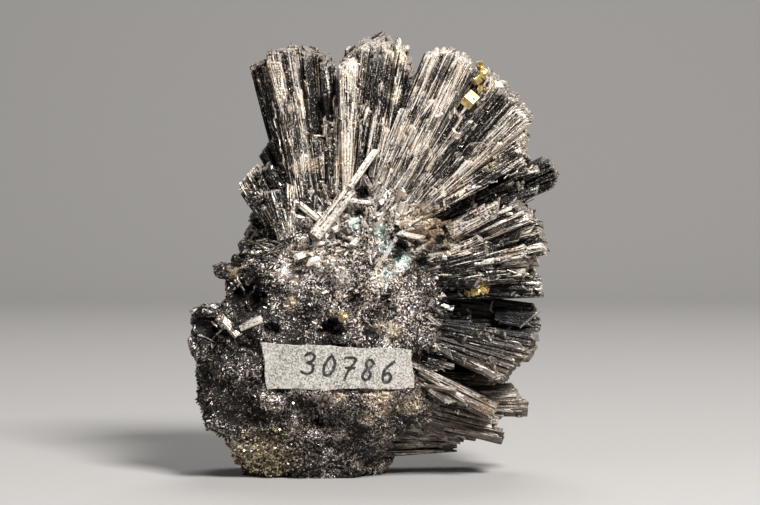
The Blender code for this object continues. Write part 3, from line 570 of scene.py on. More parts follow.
def prisms(
    roots, tips, across, outlines, half_root, half_tip, rake, slant, shares, swell, marks,
    clean=0.0, notches=None,
):
    """Crystals as prisms. Ring r of a crystal lies at root + shares[r] * (tip - root), and its
    corners are the outline's (u, v) times the half width and half depth there, times swell[r],
    along the crystal's side and rear. At the tip ring the corners also move along the axis by
    slant * u - rake * (1 - v) / 2. clean is how far off, in millimetres, the bruised end counts,
    and notches push each ring's front corners back."""
    shares = np.array(shares)
    count, corners, rings = len(roots), outlines.shape[1], len(shares)
    axis = unit(tips - roots)
    long = np.linalg.norm(tips - roots, axis=1)
    along = long[:, None] * shares
    side = unit(across - axis * (across * axis).sum(1, keepdims=True))
    side *= np.where(np.cross(axis, side)[:, 1:2] < 0, -1, 1)
    rear = np.cross(axis, side)
    half = half_root[:, None] + (half_tip - half_root)[:, None] * shares[None, :, None]
    half = half * swell[:, :, None]
    flat = outlines[:, None] * half[:, :, None, :]
    points = (
        roots[:, None, None]
        + axis[:, None, None] * along[:, :, None, None]
        + side[:, None, None] * flat[..., :1]
        + rear[:, None, None] * flat[..., 1:]
    )
    u, v = outlines[..., 0], outlines[..., 1]
    if notches is not None:
        points += rear[:, None, None] * (notches[:, :, None] * (v < -0.5)[:, None])[..., None]
    tilt = slant[:, None] * u - rake[:, None] * (1 - v) / 2
    points[:, -1] += axis[:, None] * tilt[..., None]
    each = rings * corners
    faces = tube_faces(rings, corners) + (np.arange(count) * each)[:, None, None]

    edge = np.linalg.norm(np.roll(flat[:, -1], -1, 1) - flat[:, -1], axis=2)
    round_it = np.concatenate((np.zeros((count, 1)), np.cumsum(edge, 1)), 1)
    r, k = np.divmod(np.arange((rings - 1) * corners), corners)
    u_side = np.stack((round_it[:, k], round_it[:, k + 1], round_it[:, k + 1], round_it[:, k]), -1)
    v_side = np.stack((along[:, r], along[:, r], along[:, r + 1], along[:, r + 1]), -1)
    cap = ladder(corners)
    cap_places = np.concatenate((flat[:, -1][:, cap], flat[:, 0][:, cap[:, ::-1]]), 1)
    places = np.concatenate((np.stack((u_side, v_side), -1), cap_places), 1)
    places += (np.arange(count) * MAP_STEP % MAP_WRAP)[:, None, None, None]

    values = {name: np.repeat(value, each) for name, value in marks.items()}
    values["to_tip"] = np.repeat(long[:, None] * (1 - shares), corners, 1).ravel() + clean
    return Shape(points.reshape(-1, 3), faces.reshape(-1, 4), places.reshape(-1, 4, 2), values)


def crystal_outlines(count, chance, shoulders=(0.1, 0.9), flats=(0.05, 0.6)):
    """Six-cornered outlines, each with a front face between bevels of its own breadth. The
    shoulders are how far forward the bevels begin."""
    ridge = chance.uniform(-0.35, 0.35, count)
    flat = chance.uniform(*flats, count)
    left, right = chance.uniform(*shoulders, (2, count))
    corners = (
        (-np.ones(count), -left), (ridge - flat, -np.ones(count)),
        (ridge + flat, -np.ones(count)), (np.ones(count), -right),
        (np.full(count, 0.85), np.full(count, 0.9)), (np.full(count, -0.85), np.full(count, 0.9)),
    )
    return np.stack([np.stack(corner, -1) for corner in corners], 1)


# Where the rings of a plate and of a blade lie along it.
PLATE_RINGS = (0.0, 0.2, 0.38, 0.55, 0.72, 0.88, 1.0)
LONG_BLADE_RINGS = (0.0, 0.3, 0.65, 1.0)
SHORT_BLADE_RINGS = (0.0, 0.5, 1.0)


def blades(
    roots, tips, across, half, tone, chance, shares, swell, at_root=0.8, at_tip=1.0, rake=0.5,
    slant=0.8, outline=(), clean=0.0,
):
    """Single blades as prisms. at_root and at_tip are the shares of the half sizes there and swell
    the limits of each ring's swelling. A tip is raked by a share of the half depth, and slants by
    up to a share of the half width."""
    count = len(roots)
    return prisms(
        roots, tips, across, crystal_outlines(count, chance, *outline), half * at_root,
        half * at_tip, rake=half[:, 1] * rake,
        slant=half[:, 0] * chance.uniform(-slant, slant, count), shares=shares,
        swell=chance.uniform(*swell, (count, len(shares))),
        marks={"tone": tone, "sunk_shade": np.zeros(count)}, clean=clean,
    )


def square_to(roots, tips, y):
    """Directions at right angles to the crystals in the plane of the front, tilted out of it by
    y."""
    run = tips - roots
    return np.stack((run[:, 2], np.broadcast_to(y, (len(run),)), -run[:, 0]), 1)


def fan_points(fan, share, depth):
    """Root and tip points of a fan at shares across it and through its thickness: straight lines
    between its edges, the tips moved along the crystals by arch * (1 - (2 * share - 1)^2) less
    rake * (1 - depth)."""
    s = share[:, None]
    root = level(np.array(fan.a[0]), np.array(fan.b[0]), s)
    tip = level(np.array(fan.a[1]), np.array(fan.b[1]), s)
    lift = fan.arch * (1 - (2 * s - 1) ** 2) - fan.rake * (1 - depth[:, None])
    tip = tip + unit(tip - root) * lift
    root_y = fan.front[0] + depth * fan.deep[0]
    tip_y = fan.front[1] + fan.roll * (1 - share) + depth * fan.deep[1]
    return (
        np.stack((root[:, 0], root_y, root[:, 1]), 1),
        np.stack((tip[:, 0], tip_y, tip[:, 1]), 1),
    )


def ledge_ends(fan, share, depth):
    """The share of their length that the crystals in a fan's snapped-off places keep."""
    end = np.ones(len(share))
    for name, low, high, deep, left in LEDGES:
        if name == fan.name:
            inside = (share > low) & (share < high) & (depth * fan.deep[1] < deep)
            end = np.where(inside, left, end)
    return end


def fan_layer(fan, k, layer, sheaf, seed, chance):
    """One layer of a fan's crystals: plates edge on, in the same columns from layer to layer.
    Blocks of neighbours share a step in depth, a turn, a tone and a height and, where they are
    snapped, an end; some plates start part of the way along and widen from there."""
    root_width = math.dist(fan.a[0], fan.b[0])
    tip_width = math.dist(fan.a[1], fan.b[1])
    widths, block = sheaf["widths"], sheaf["block"]
    count = len(widths)
    share = np.cumsum(widths) - widths / 2 + chance.normal(0, 0.12, count) * widths
    near = 1.0 if k == 0 else 0.5
    step = near * (sheaf["step"][block] + chance.uniform(-0.08, 0.08, count))
    here = np.clip(((k + 0.5) * layer + step) / fan.deep[1], 0.02, 0.98)
    roots, tips = fan_points(fan, share, here)
    half_depth = layer * chance.uniform(0.56, 0.7, count)

    snapped = (sheaf["snap"][k] < fan.broken * max(0.0, 1 - 0.45 * k))[block]
    rim = np.stack((share * tip_width, np.full(count, k * 9.0), np.full(count, seed * 3.7)), 1)
    end = np.where(snapped, sheaf["end"][k][block] + 0.03 * noise(rim, 0.7, 23), 1.0)
    end = np.minimum(end, ledge_ends(fan, share, here))
    end -= np.where(end < 1, np.abs(chance.normal(0, 0.012, count)), 0)
    late = chance.random(count) < 0.16
    start = np.where(late, chance.uniform(0.1, 0.6, count), 0.0)
    run = tips - roots
    reach = np.linalg.norm(run, axis=1, keepdims=True)
    ragged = fan.ragged * sheaf["height"] + chance.normal(0, 0.05 + 0.12 * fan.ragged, count)
    ragged += np.where(chance.random(count) < 0.1, chance.uniform(-1.2, 0, count), 0) * fan.ragged
    slope = fan.rake / fan.deep[1]
    ragged = np.minimum(ragged, 0.7) + slope * half_depth
    tips = roots + run * end[:, None] + run / reach * ragged[:, None]
    tips += chance.normal(0, 0.05 + fan.stray, (count, 3)) * (1, 0.6, 1)
    starts = roots + run * start[:, None]
    starts[:, 1] += np.where(late, 0.3, 0)
    grow = level(root_width, tip_width, end)
    half_tip = np.stack((widths * grow * 0.56, half_depth), 1)
    grow = level(root_width, tip_width, start) * np.where(late, 0.35, 1)
    root_depth = half_depth * chance.uniform(0.7, 0.95, count)
    half_root = np.stack((widths * grow * 0.6 + 0.02, root_depth), 1)
    across = unit(np.array((fan.b[1][0] - fan.a[1][0], -fan.roll, fan.b[1][1] - fan.a[1][1])))
    turn = sheaf["turn"][block] + chance.normal(0, 0.05, count)
    turned_across = across + turn[:, None] * (0, 1, 0)
    half_tip[:, 0] = np.clip(half_tip[:, 0], 0.05, 1.4)
    tone = 0.5 + 0.4 * fan.tone + sheaf["tone"][block] + 0.16 * noise(rim, 2.4, 22)
    shares = PLATE_RINGS if k < 2 else PLATE_RINGS[::3]
    notches = np.abs(chance.normal(0, 0.07, (count, len(shares))))
    notches += np.where(chance.random(notches.shape) < 0.08, 0.25, 0)
    outlines = crystal_outlines(count, chance, (0.7, 0.97), (0.3, 0.85))
    return prisms(
        starts, tips, turned_across, outlines, half_root, half_tip,
        rake=slope * 2 * half_depth + chance.uniform(0.0, 0.35, count),
        slant=chance.uniform(-0.6, 0.6, count) * np.minimum(half_tip[:, 0], 0.4),
        shares=shares, swell=chance.uniform(0.92, 1.05, (count, len(shares))), notches=notches,
        marks={
            "tone": np.clip(tone + chance.normal(0, 0.12, count), -0.4, 1),
            # The deeper layers are darkened: painted shade between the crystals.
            "sunk_shade": np.full(count, min(1.0, k * 0.45)),
        },
    )


# The mean breadth, at the rim, of a block of a fan's crystals.
BLOCK_BREADTH = 1.5


def fan_shape(fan, breadth, layer, seed):
    """A fan, layer behind layer of plates whose breadths are lognormal."""
    chance = np.random.default_rng(seed)
    tip_width = math.dist(fan.a[1], fan.b[1])
    layers = max(3, round(max(fan.deep) / layer))
    widths = chance.lognormal(0, 0.85, max(4, round(tip_width / breadth)))
    widths /= widths.sum()
    count = max(2, round(tip_width / BLOCK_BREADTH))
    block = np.searchsorted(np.sort(chance.random(count - 1)), np.cumsum(widths) - widths / 2)
    place = np.stack((np.cumsum(widths) * tip_width, np.zeros(len(widths)), widths * 0), 1)
    sheaf = {
        "widths": widths,
        "block": block,
        "step": chance.uniform(-0.5, 0.5, count),
        "turn": chance.normal(0, 0.3, count),
        "tone": chance.normal(0, 0.22, count),
        "height": chance.normal(0.05, 0.35, count)[block] + 0.3 * noise(place, 0.9, seed),
        "snap": chance.random((layers, count)),
        "end": chance.uniform(0.5, 0.96, (layers, count)),
    }
    return joined([fan_layer(fan, k, layer, sheaf, seed, chance) for k in range(layers)])


def overgrowth_shape(seed):
    """Plates grown over the fans' fronts: each starts part of the way along its fan, runs with
    the fan's crystals for a few millimetres, straying by a tenth of a radian, and ends broken."""
    chance = np.random.default_rng(seed)
    roots, tips, half, tone = [], [], [], []
    for fan in FRONT_FANS[:OVERGROWN_FANS]:
        width = math.dist(fan.a[1], fan.b[1])
        count = round(width * 2.6)
        share = chance.uniform(0.04, 0.96, count)
        root, tip = fan_points(fan, share, np.full(count, 0.02))
        run = tip - root
        reach = np.linalg.norm(run, axis=1, keepdims=True)
        start = chance.uniform(0.12, 0.8, (count, 1))
        long = np.minimum(chance.lognormal(1.25, 0.5, (count, 1)), reach * (0.97 - start))
        begin = root + run * start
        side = np.stack((-run[:, 2], run[:, 1] * 0, run[:, 0]), 1) / reach
        end = begin + run / reach * long + side * long * chance.normal(0, 0.09, (count, 1))
        wide = np.minimum(0.1 + 0.5 * width * start[:, 0], chance.lognormal(-1.0, 0.55, count))
        deep = wide * chance.uniform(0.3, 0.7, count) + 0.12
        lift = (0.0, -1.0, 0.0) * chance.uniform(0.0, 0.35, (count, 1))
        roots.append(begin + lift * 0.4)
        tips.append(end + lift)
        half.append(np.stack((wide, deep), 1))
        tone.append(0.5 + 0.4 * fan.tone + chance.normal(0, 0.24, count))
    roots, tips, half, tone = (np.concatenate(values) for values in (roots, tips, half, tone))
    roots[:, 1], tips[:, 1] = np.maximum((roots[:, 1], tips[:, 1]), LABEL_FRONT + 1.6)
    across = square_to(roots, tips, chance.normal(0, 1.2, len(roots)))
    return blades(
        roots, tips, across, half, np.clip(tone, -0.4, 1), chance, LONG_BLADE_RINGS, (0.85, 1.1),
        at_root=(0.55, 0.8), rake=0.6, slant=1.2, outline=((0.5, 0.95), (0.2, 0.8)),
    )


def back_crystal_shape(breadth, seed):
    """The stout crystals of the back, each a sheaf of finer ones: about its axis the finer ones'
    tips lie on a sunflower spiral, at radius R * sqrt(k / n) and turn 2.4 * k."""
    chance = np.random.default_rng(seed)
    lines = []
    for ring, (lean, count, reach, radius) in enumerate(BACK_RINGS):
        k = np.arange(count)
        turn = 2 * np.pi * (k + 0.5 * (ring % 2) + 0.15 * np.sin(5 * k + ring)) / count
        tilt = np.radians(lean + 4 * np.sin(3 * k + 2 * ring + 1))
        away = np.stack((np.sin(tilt) * np.cos(turn), np.cos(tilt), np.sin(tilt) * np.sin(turn)), 1)
        reach = reach * (0.95 + 0.08 * np.sin(7 * k + ring))
        radius = radius * (0.82 + 0.26 * np.sin(4 * k + 2 * ring))
        lines.append(np.column_stack((away, reach, radius, 0.16 * np.sin(5 * k + ring))))
    lines = np.concatenate(lines)
    each = max(6, round((5.0 / breadth) ** 2 * 0.7))
    line = np.repeat(lines, each, 0)
    away, reach, radius, light = line[:, :3], line[:, 3:4], line[:, 4:5], line[:, 5]
    k = np.tile(np.arange(each), len(lines))[:, None]
    side = unit(np.cross(away, (0.2, 0.1, 1.0)))
    other = np.cross(away, side)
    six_sided = np.cos(np.pi / 6) / np.cos((2.4 * k) % (np.pi / 3) - np.pi / 6)
    out = 0.95 * radius * np.sqrt((k + 0.5) / each) * six_sided
    place = (side * np.cos(2.4 * k) + other * np.sin(2.4 * k)) * out
    count = len(line)
    roots = np.array(HEART) + away * 2 + place * 0.4
    tips = np.array(HEART) + away * (reach + chance.normal(-0.35, 0.3, (count, 1))) + place
    half = breadth * chance.uniform(0.7, 1.3, (count, 2))
    return prisms(
        roots, tips, side + chance.normal(0, 0.4, (count, 3)), crystal_outlines(count, chance),
        half * 0.5, half,
        rake=chance.uniform(-0.3, 0.5, count), slant=chance.uniform(-0.3, 0.3, count),
        shares=(0.0, 0.35, 0.7, 1.0), swell=chance.uniform(0.86, 1.1, (count, 4)),
        marks={
            "tone": np.clip(0.46 + light + chance.normal(0, 0.2, count), 0, 1),
            "sunk_shade": np.zeros(count),
        },
    )


def blade_shape(seed):
    """The pale single blades, each with a few finer ones grown along it."""
    chance = np.random.default_rng(seed)
    roots, tips, half, tone = [], [], [], []
    for root, tip, half_width, half_depth, light in LOOSE_BLADES:
        root, tip = np.array(root), np.array(tip)
        across = unit(np.cross(tip - root, (0, 1, 0)))
        for k in range(6):
            main = k == 0
            shift = 0 if main else chance.uniform(-0.7, 0.7) * half_width
            roots.append(root + across * shift)
            end = 1.0 if main else chance.uniform(0.6, 0.97)
            back = 0 if main else chance.uniform(0.0, 0.15)
            tips.append(root + (tip - root) * end + across * shift + (0, -back * half_depth, 0))
            size = 1.0 if main else chance.uniform(0.2, 0.45)
            half.append((half_width * size, half_depth * (1.0 if main else 0.95)))
            tone.append(light)
    roots, tips, half, tone = (np.array(values, float) for values in (roots, tips, half, tone))
    return blades(
        roots, tips, square_to(roots, tips, 1.6), half, np.clip(0.5 + 0.4 * tone, -0.2, 1), chance,
        LONG_BLADE_RINGS, (0.93, 1.05), at_root=0.9,
    )


def laid_on(points, names):
    """The points moved along y to just before the front of the named pieces, by RIM_REACH at
    most. The front is the foremost of what lies behind a point and 0.4 mm to either side."""
    depsgraph = bpy.context.evaluated_depsgraph_get()
    trees = [BVHTree.FromObject(bpy.data.objects[name], depsgraph) for name in names]
    for point in points:
        starts = [Vector((point[0] + side, -50.0, point[2])) * MM for side in (-0.4, 0.0, 0.4)]
        hits = [tree.ray_cast(start, (0, 1, 0))[0] for tree in trees for start in starts]
        front = min((hit.y / MM for hit in hits if hit), default=point[1]) - RIM_LIFT
        point[1] = min(max(front, point[1] - RIM_REACH), point[1] + RIM_REACH)
    return points


def rim_shape(seed):
    """Broken rims: along each line, short pieces of crystal end to end, each straying a little
    from it and lying on what is behind."""
    chance = np.random.default_rng(seed)
    roots, tips, half, tone = [], [], [], []
    for line, size, light in RIMS:
        line = np.array(line)
        so_far = passed(line)
        count = max(3, round(so_far[-1] / 0.7))
        at = np.linspace(0, so_far[-1], count + 1) + chance.normal(0, 0.12, count + 1)
        point = np.stack([np.interp(at, so_far, line[:, k]) for k in range(3)], 1)
        point += chance.normal(0, 0.14, point.shape)
        point = laid_on(point, RIM_BEDS)
        keep = chance.random(count) < 0.85
        roots.append(point[:-1][keep])
        tips.append((point[1:] + (point[1:] - point[:-1]) * 0.25)[keep])
        half.append(size * chance.lognormal(0, 0.35, (keep.sum(), 2)))
        tone.append(light + chance.normal(0, 0.2, keep.sum()))
    roots, tips, half, tone = (np.concatenate(values) for values in (roots, tips, half, tone))
    return blades(
        roots, tips, square_to(roots, tips, 0.3), half, np.clip(0.5 + 0.4 * tone, 0, 1), chance,
        SHORT_BLADE_RINGS, (0.8, 1.2), at_tip=0.7, clean=1.0,
    )


def lump_shape(seed):
    """Lumps: balls |x|^n + |y|^n + |z|^n = 1 stretched to their half sizes, moved outwards by
    noise, and tipped over in the plane of the front."""
    shapes = []
    turn = np.linspace(0, 2 * np.pi, 56, endpoint=False)
    lift = np.linspace(-1.5, 1.5, 31)
    way = np.stack((np.cos(turn) * np.cos(lift)[:, None], np.sin(turn) * np.cos(lift)[:, None],
                    np.repeat(np.sin(lift)[:, None], len(turn), 1)), -1)
    for k, (centre, half, square, tip_over, light) in enumerate(LUMPS):
        power = 2 + square
        ball = way / (np.abs(way) ** power).sum(-1, keepdims=True) ** (1 / power) * half
        c, s = math.cos(math.radians(tip_over)), math.sin(math.radians(tip_over))
        ball = np.stack((ball[..., 0] * c - ball[..., 2] * s, ball[..., 1],
                         ball[..., 0] * s + ball[..., 2] * c), -1)
        points = ball + centre
        rough = 0.5 * noise(points, 1.1, seed + k) + 0.24 * noise(points, 0.45, seed + k + 40)
        points = points + unit(ball) * rough[..., None]
        shapes.append(grid_shape(points, {"crag": rough.ravel() + light - 0.2}))
    return joined(shapes)


def label_depth(x):
    """Depth of the label's front face: a parabola that curves back towards both ends."""
    middle = LABEL_CORNERS[:2, 0].mean()
    return LABEL_FRONT + LABEL_BEND * (x - middle) ** 2


def label_span(x):
    """Lower and upper edge of the label at x."""
    (ax, az), (bx, bz), (cx, cz), (dx, dz) = LABEL_CORNERS
    return np.interp(x, (dx, cx), (dz, cz)), np.interp(x, (ax, bx), (az, bz))


def under_label(x, z, margin):
    """1 well inside the label's outline, falling to 0 at margin outside it."""
    low, high = label_span(x)
    outside = np.maximum.reduce((low - z, z - high, LABEL_CORNERS[3, 0] - 0.4 - x,
                                 x - LABEL_CORNERS[2, 0] + 0.3))
    return 1 - ease(outside, 0.0, margin)


def root_points(step):
    """The granular root as a grid of rows up its height and columns round it: each row is the
    superellipse |x|^n + |y|^n = 1 stretched between its section's limits. The points then move
    outwards by the waves' lumps and by craggy noise, in at the pits, and back behind the label."""
    low, high = 0.0, ROOT_SECTIONS[-1, 0]
    rows = round((high - low) / step)
    z = np.linspace(low, high, rows)
    closing = np.linspace(1, 0.02, round(ROOT_CLOSING / step))[1:]
    left, right, front, back = (
        np.pad(np.interp(z, ROOT_SECTIONS[:, 0], ROOT_SECTIONS[:, k]), len(closing), mode="edge")
        for k in (1, 2, 3, 4)
    )
    z = np.concatenate((np.zeros(len(closing)), z, high + ROOT_BULGE * (1 - closing)))
    shrink = np.concatenate((closing[::-1], np.ones(rows), closing))

    def out_to(cos, sin):
        return (np.abs(cos) ** SQUARENESS + np.abs(sin) ** SQUARENESS) ** (-1 / SQUARENESS)

    # The columns are spaced evenly round a middling section, 34 mm by 24 mm.
    fine = np.linspace(0, 2 * np.pi, 2001)
    size = out_to(np.cos(fine), np.sin(fine))
    so_far = passed(np.stack((17 * np.cos(fine) * size, 12 * np.sin(fine) * size), 1))
    columns = 2 * round(so_far[-1] / step / 2)
    turn = np.interp(np.arange(columns) * so_far[-1] / columns, so_far, fine)
    cos, sin = np.cos(turn), np.sin(turn)
    size = out_to(cos, sin)

    def spread(centre, half, wave):
        return centre[:, None] + (half * shrink)[:, None] * (wave * size)[None]

    x = spread((left + right) / 2, (right - left) / 2, cos)
    y = spread((front + back) / 2, (back - front) / 2, sin)
    points = np.stack((x, y, np.repeat(z[:, None], columns, 1)), -1)
    outward = np.stack((np.repeat(cos[None], len(z), 0), np.repeat(sin[None], len(z), 0),
                        np.zeros_like(x)), -1)
    lump = sum(height * np.sin(points @ np.array(wave) + phase) for wave, phase, height in LUMP_WAVES)
    crag = (
        0.6 * noise(points, 2.3, 1) + 0.45 * np.abs(noise(points, 1.1, 2))
        + 0.25 * noise(points, 0.55, 3) + 0.16 * noise(points, 0.3, 4) - 0.35
    )
    wall = (shrink == 1)[:, None]
    relief = (lump + crag * wall) * shrink[:, None]
    points = points + outward * relief[..., None]
    for (px, _, pz), radius, depth in PITS:
        away = np.hypot(points[..., 0] - px, (points[..., 2] - pz) / 0.9) / radius
        away = away + 0.4 * noise(points * (1, 0, 1), 0.9, 6)
        hole = (1 - ease(away, 0.6, 1.05)) * (points[..., 1] < 0) * wall
        points[..., 1] += depth * hole
    seat = label_depth(points[..., 0]) + LABEL_THICK + 0.06
    covered = under_label(points[..., 0], points[..., 2], 0.5) * (points[..., 1] < 0)
    y = points[..., 1]
    y = np.where(covered > 0, np.maximum(y, level(-40, seat, covered ** 0.02)), y)
    points[..., 1] = np.where(covered > 0.5, np.maximum(y, seat), y)
    points[..., 2] = np.maximum(points[..., 2], 0)
    return points, wall[:, 0], (crag * wall).ravel()


def beside_pits(place):
    """Whether places on the front are clear of every pit."""
    clear = np.full(place.shape[:-1], True)
    for (px, _, pz), radius, _ in PITS:
        away = np.hypot(place[..., 0] - px, place[..., 2] - pz)
        clear &= (away > radius * 0.8) | (place[..., 1] > 0)
    return clear


def grid_shape(points, marks):
    """A grid of rows and columns, closed round its columns and, by ladders of quads, at both
    ends."""
    faces = tube_faces(*points.shape[:2])
    flat = points.reshape(-1, 3)
    return Shape(flat, faces, flat[faces][..., (0, 2)], marks)


# How far from a bruised end a grain counts as being, so that it shows no bruise.
NO_BRUISE = 9.0
# A broken grain's outline, as corners (u, v).
GRAIN_RING = np.array(((-1, -0.2), (0.1, -1), (1, 0.15), (-0.1, 1)))


def leaning(normal, hold, chance):
    """Directions at random, held towards the surface's outward one and never into it."""
    lean = unit(normal * hold + chance.normal(0, 0.8, normal.shape))
    return lean * np.where((lean * normal).sum(1, keepdims=True) < 0, -1, 1)


def broken_grains(roots, tips, wide, odds, lit, tone, chance):
    """Grains as four-sided prisms that taper and end askew. By those odds a grain has the lit
    tone."""
    count = len(roots)
    outlines = GRAIN_RING * chance.uniform(0.6, 1.1, (count, 4, 1))
    half = np.stack((wide, wide * chance.uniform(0.45, 1, count)), 1)
    return prisms(
        roots, tips, chance.normal(0, 1, (count, 3)), outlines, half,
        half * chance.uniform(0.45, 0.95, (count, 1)),
        rake=chance.uniform(-0.5, 0.5, count) * wide, slant=chance.uniform(-0.8, 0.8, count) * wide,
        shares=(0.0, 1.0), swell=np.ones((count, 2)),
        marks={
            "tone": np.clip(np.where(chance.random(count) < odds, lit, tone), 0, 1),
            "sunk_shade": np.zeros(count),
        },
        clean=NO_BRUISE,
    )


def grain_shape(points, wall, count, size, chance, front):
    """Crystal grains strewn over one side of the root: each stands at a point of the surface and
    leans from the surface's outward direction."""
    across = np.roll(points, -1, 1) - np.roll(points, 1, 1)
    up = np.gradient(points, axis=0)
    outward = unit(np.cross(across, up))
    room = wall[:, None] & ((points[..., 1] < -2) == front) & (points[..., 2] > 0.8)
    low, high = label_span(points[..., 0])
    beside = (points[..., 2] > low - 0.5) & (points[..., 2] < high + 0.5) & (points[..., 1] < -8)
    beside &= (points[..., 0] > LABEL_CLEAR[0]) & (points[..., 0] < LABEL_CLEAR[1])
    room &= ~beside & beside_pits(points)
    row, column = np.nonzero(room)
    pick = chance.integers(0, len(row), count)
    place = points[row[pick], column[pick]] + chance.uniform(-0.15, 0.15, (count, 3))
    normal = outward[row[pick], column[pick]]
    lean = leaning(normal, 0.35, chance)
    hub = np.exp(-(((place - GLITTER) / GLITTER_SPREAD) ** 2).sum(1))
    # Grains on the root's ridges are lighter and those in its recesses darker, by the same noise as
    # the root's relief: painted light and shade.
    ridge = 0.35 * noise(place, 2.3, 1) + 0.35 * np.abs(noise(place, 1.1, 2)) - 0.12
    tone = 0.38 + 0.33 * hub + 0.14 * noise(place, 2.6, 31) + ridge
    tone += 0.16 * noise(place, 5.0, 33) + chance.normal(0, 0.2, count)
    long = size * chance.lognormal(0, 0.5, count) * (1 + 0.8 * hub)
    slim = chance.random(count) < 0.08 + 0.5 * hub
    long *= np.where(slim, 1.3, 0.75)
    wide = np.minimum(long * np.where(slim, 0.15, 0.5) * chance.uniform(0.7, 1.3, count), 0.34)
    roots = place - normal * 0.2
    tips = roots + lean * np.minimum(long + 0.1, 0.6 + 1.2 * hub)[:, None]
    tips[:, 1] = np.maximum(tips[:, 1], LABEL_FRONT + 0.4)
    roots[:, 2] = np.maximum(roots[:, 2], 0.3)
    tips[:, 2] = np.maximum(tips[:, 2], 0.35)
    return broken_grains(roots, tips, wide, 0.12, tone + 0.5, tone, chance)


def cube_shape(centres, edges, turns, rounding, fine=True):
    """Cubes with rounded edges: a point p of the plain cube goes to q + r * unit(p - q), where q
    is p held within 1 - r of the middle. Coarse cubes, too small to show it, have no bevel."""
    half = np.array((1 - rounding, 1 - rounding * 0.4, 1.0) if fine else (1.0,))
    line = np.concatenate((-half[::-1], half))
    a, b = np.meshgrid(line, line, indexing="ij")
    size = len(line)
    quads = grid_faces(size, size)
    points, faces, places = [], [], []
    for axis in range(3):
        for sign in (-1, 1):
            face = np.empty((size, size, 3))
            face[..., axis] = sign
            face[..., (axis + 1) % 3] = a
            face[..., (axis + 2) % 3] = b
            grid = quads if sign > 0 else quads[:, ::-1]
            faces.append(grid + len(points) * size * size)
            points.append(face.reshape(-1, 3))
            places.append(np.stack((a, b), -1).reshape(-1, 2)[grid])
    points, faces, places = (np.concatenate(values) for values in (points, faces, places))
    middle = np.clip(points, rounding - 1, 1 - rounding)
    points = middle + rounding * unit(points - middle)
    _, first, same = np.unique(np.round(points, 6), axis=0, return_index=True, return_inverse=True)
    points, faces = points[first], same.reshape(-1)[faces]
    count = len(edges)
    spun = np.einsum("cij,pj->cpi", turns, points) * (edges / 2)[:, None, None] + centres[:, None]
    return Shape(
        spun.reshape(-1, 3),
        (faces[None] + (np.arange(count) * len(points))[:, None, None]).reshape(-1, 4),
        (places[None] * (edges / 2)[:, None, None, None]).reshape(-1, 4, 2),
        {"tone": np.repeat(np.random.default_rng(5).random(count), len(points))},
    )


def turned(spin, tip_over, turn):
    """Rotation matrices: spin about Z, tip_over about X, then turn about Z, in degrees."""
    zero, one = np.zeros_like(spin), np.ones_like(spin)
    first, third = (
        np.stack((np.cos(a), -np.sin(a), zero, np.sin(a), np.cos(a), zero, zero, zero, one), -1)
        for a in (np.radians(spin), np.radians(turn))
    )
    d, t = np.cos(np.radians(tip_over)), np.sin(np.radians(tip_over))
    second = np.stack((one, zero, zero, zero, d, -t, zero, t, d), -1)
    first, second, third = (rows.reshape(-1, 3, 3) for rows in (first, second, third))
    return third @ second @ first


def pyrite_shape(cluster, rounding, seed):
    """The cluster's own cubes and many small ones grown on them."""
    chance = np.random.default_rng(seed)
    centres = np.array([place for place, *_ in cluster])
    edges, *angles = (np.array([row[k] for row in cluster], float) for k in (1, 2, 3, 4))
    small = 6 * len(cluster)
    host = chance.integers(0, len(cluster), small)
    offset = unit(chance.normal(0, 1, (small, 3)) - (0, 0.6, 0)) * (edges[host] * 0.5)[:, None]
    size = edges[host] * chance.uniform(0.18, 0.42, small)
    centres = np.concatenate((centres, centres[host] + offset))
    edges = np.concatenate((edges, size))
    angles = [np.concatenate((angle, chance.uniform(0, 90, small))) for angle in angles]
    return cube_shape(centres, edges, turned(*angles), rounding)


def crust_shape(points, wall, count, rounding, seed):
    """Small cubes strewn over the foot, thickest near its front left corner."""
    chance = np.random.default_rng(seed)
    near = np.exp(-(((points - CRUST) / CRUST_SPREAD) ** 2).sum(-1))
    weight = (near * wall[:, None] * (points[..., 2] > 0.5)).ravel()
    pick = chance.choice(len(weight), count, p=weight / weight.sum())
    place = points.reshape(-1, 3)[pick] + chance.normal(0, 0.15, (count, 3))
    edges = np.clip(chance.lognormal(-1.55, 0.3, count), 0.1, 0.34)
    place += unit(FOOT_HEART - place) * 0.12
    place[:, 2] = np.maximum(place[:, 2], edges * 0.9)
    turns = turned(*chance.uniform(0, 90, (3, count)))
    return cube_shape(place, edges, turns, rounding, fine=False)


def speck_shape(shape, count, size, pale, seed):
    """Broken grains lying on the forward faces of a shape. Each stands at a point s, t of a face:
    the corners' mean weighted by (1 - s)(1 - t), s(1 - t), s t and (1 - s) t."""
    chance = np.random.default_rng(seed)
    corners = shape.points[shape.faces]
    normal = np.cross(corners[:, 2] - corners[:, 0], corners[:, 3] - corners[:, 1])
    area = np.linalg.norm(normal, axis=1)
    normal = unit(normal)
    sunk_shade = shape.marks["sunk_shade"][shape.faces[:, 0]]
    weight = area * (normal[:, 1] < -0.35) * (sunk_shade < 0.45)
    weight = weight * level(1, 0.3, ease(corners[:, 0, 0], -4, 4))
    pick = chance.choice(len(area), count, p=weight / weight.sum())
    s, t = chance.random((2, count, 1))
    four = corners[pick]
    place = level(level(four[:, 0], four[:, 1], s), level(four[:, 3], four[:, 2], s), t)
    lean = leaning(normal[pick], 0.5, chance)
    long = size * chance.lognormal(0, 0.5, count)
    wide = long * chance.uniform(0.25, 0.6, count)
    roots = place - normal[pick] * 0.08
    tips = roots + lean * (long + 0.05)[:, None]
    tips[:, 1] = np.maximum(tips[:, 1], LABEL_FRONT + 0.5)
    odds = pale * ease(place[:, 2], 18, 36)
    return broken_grains(roots, tips, wide, odds, 0.95, 0.25, chance)


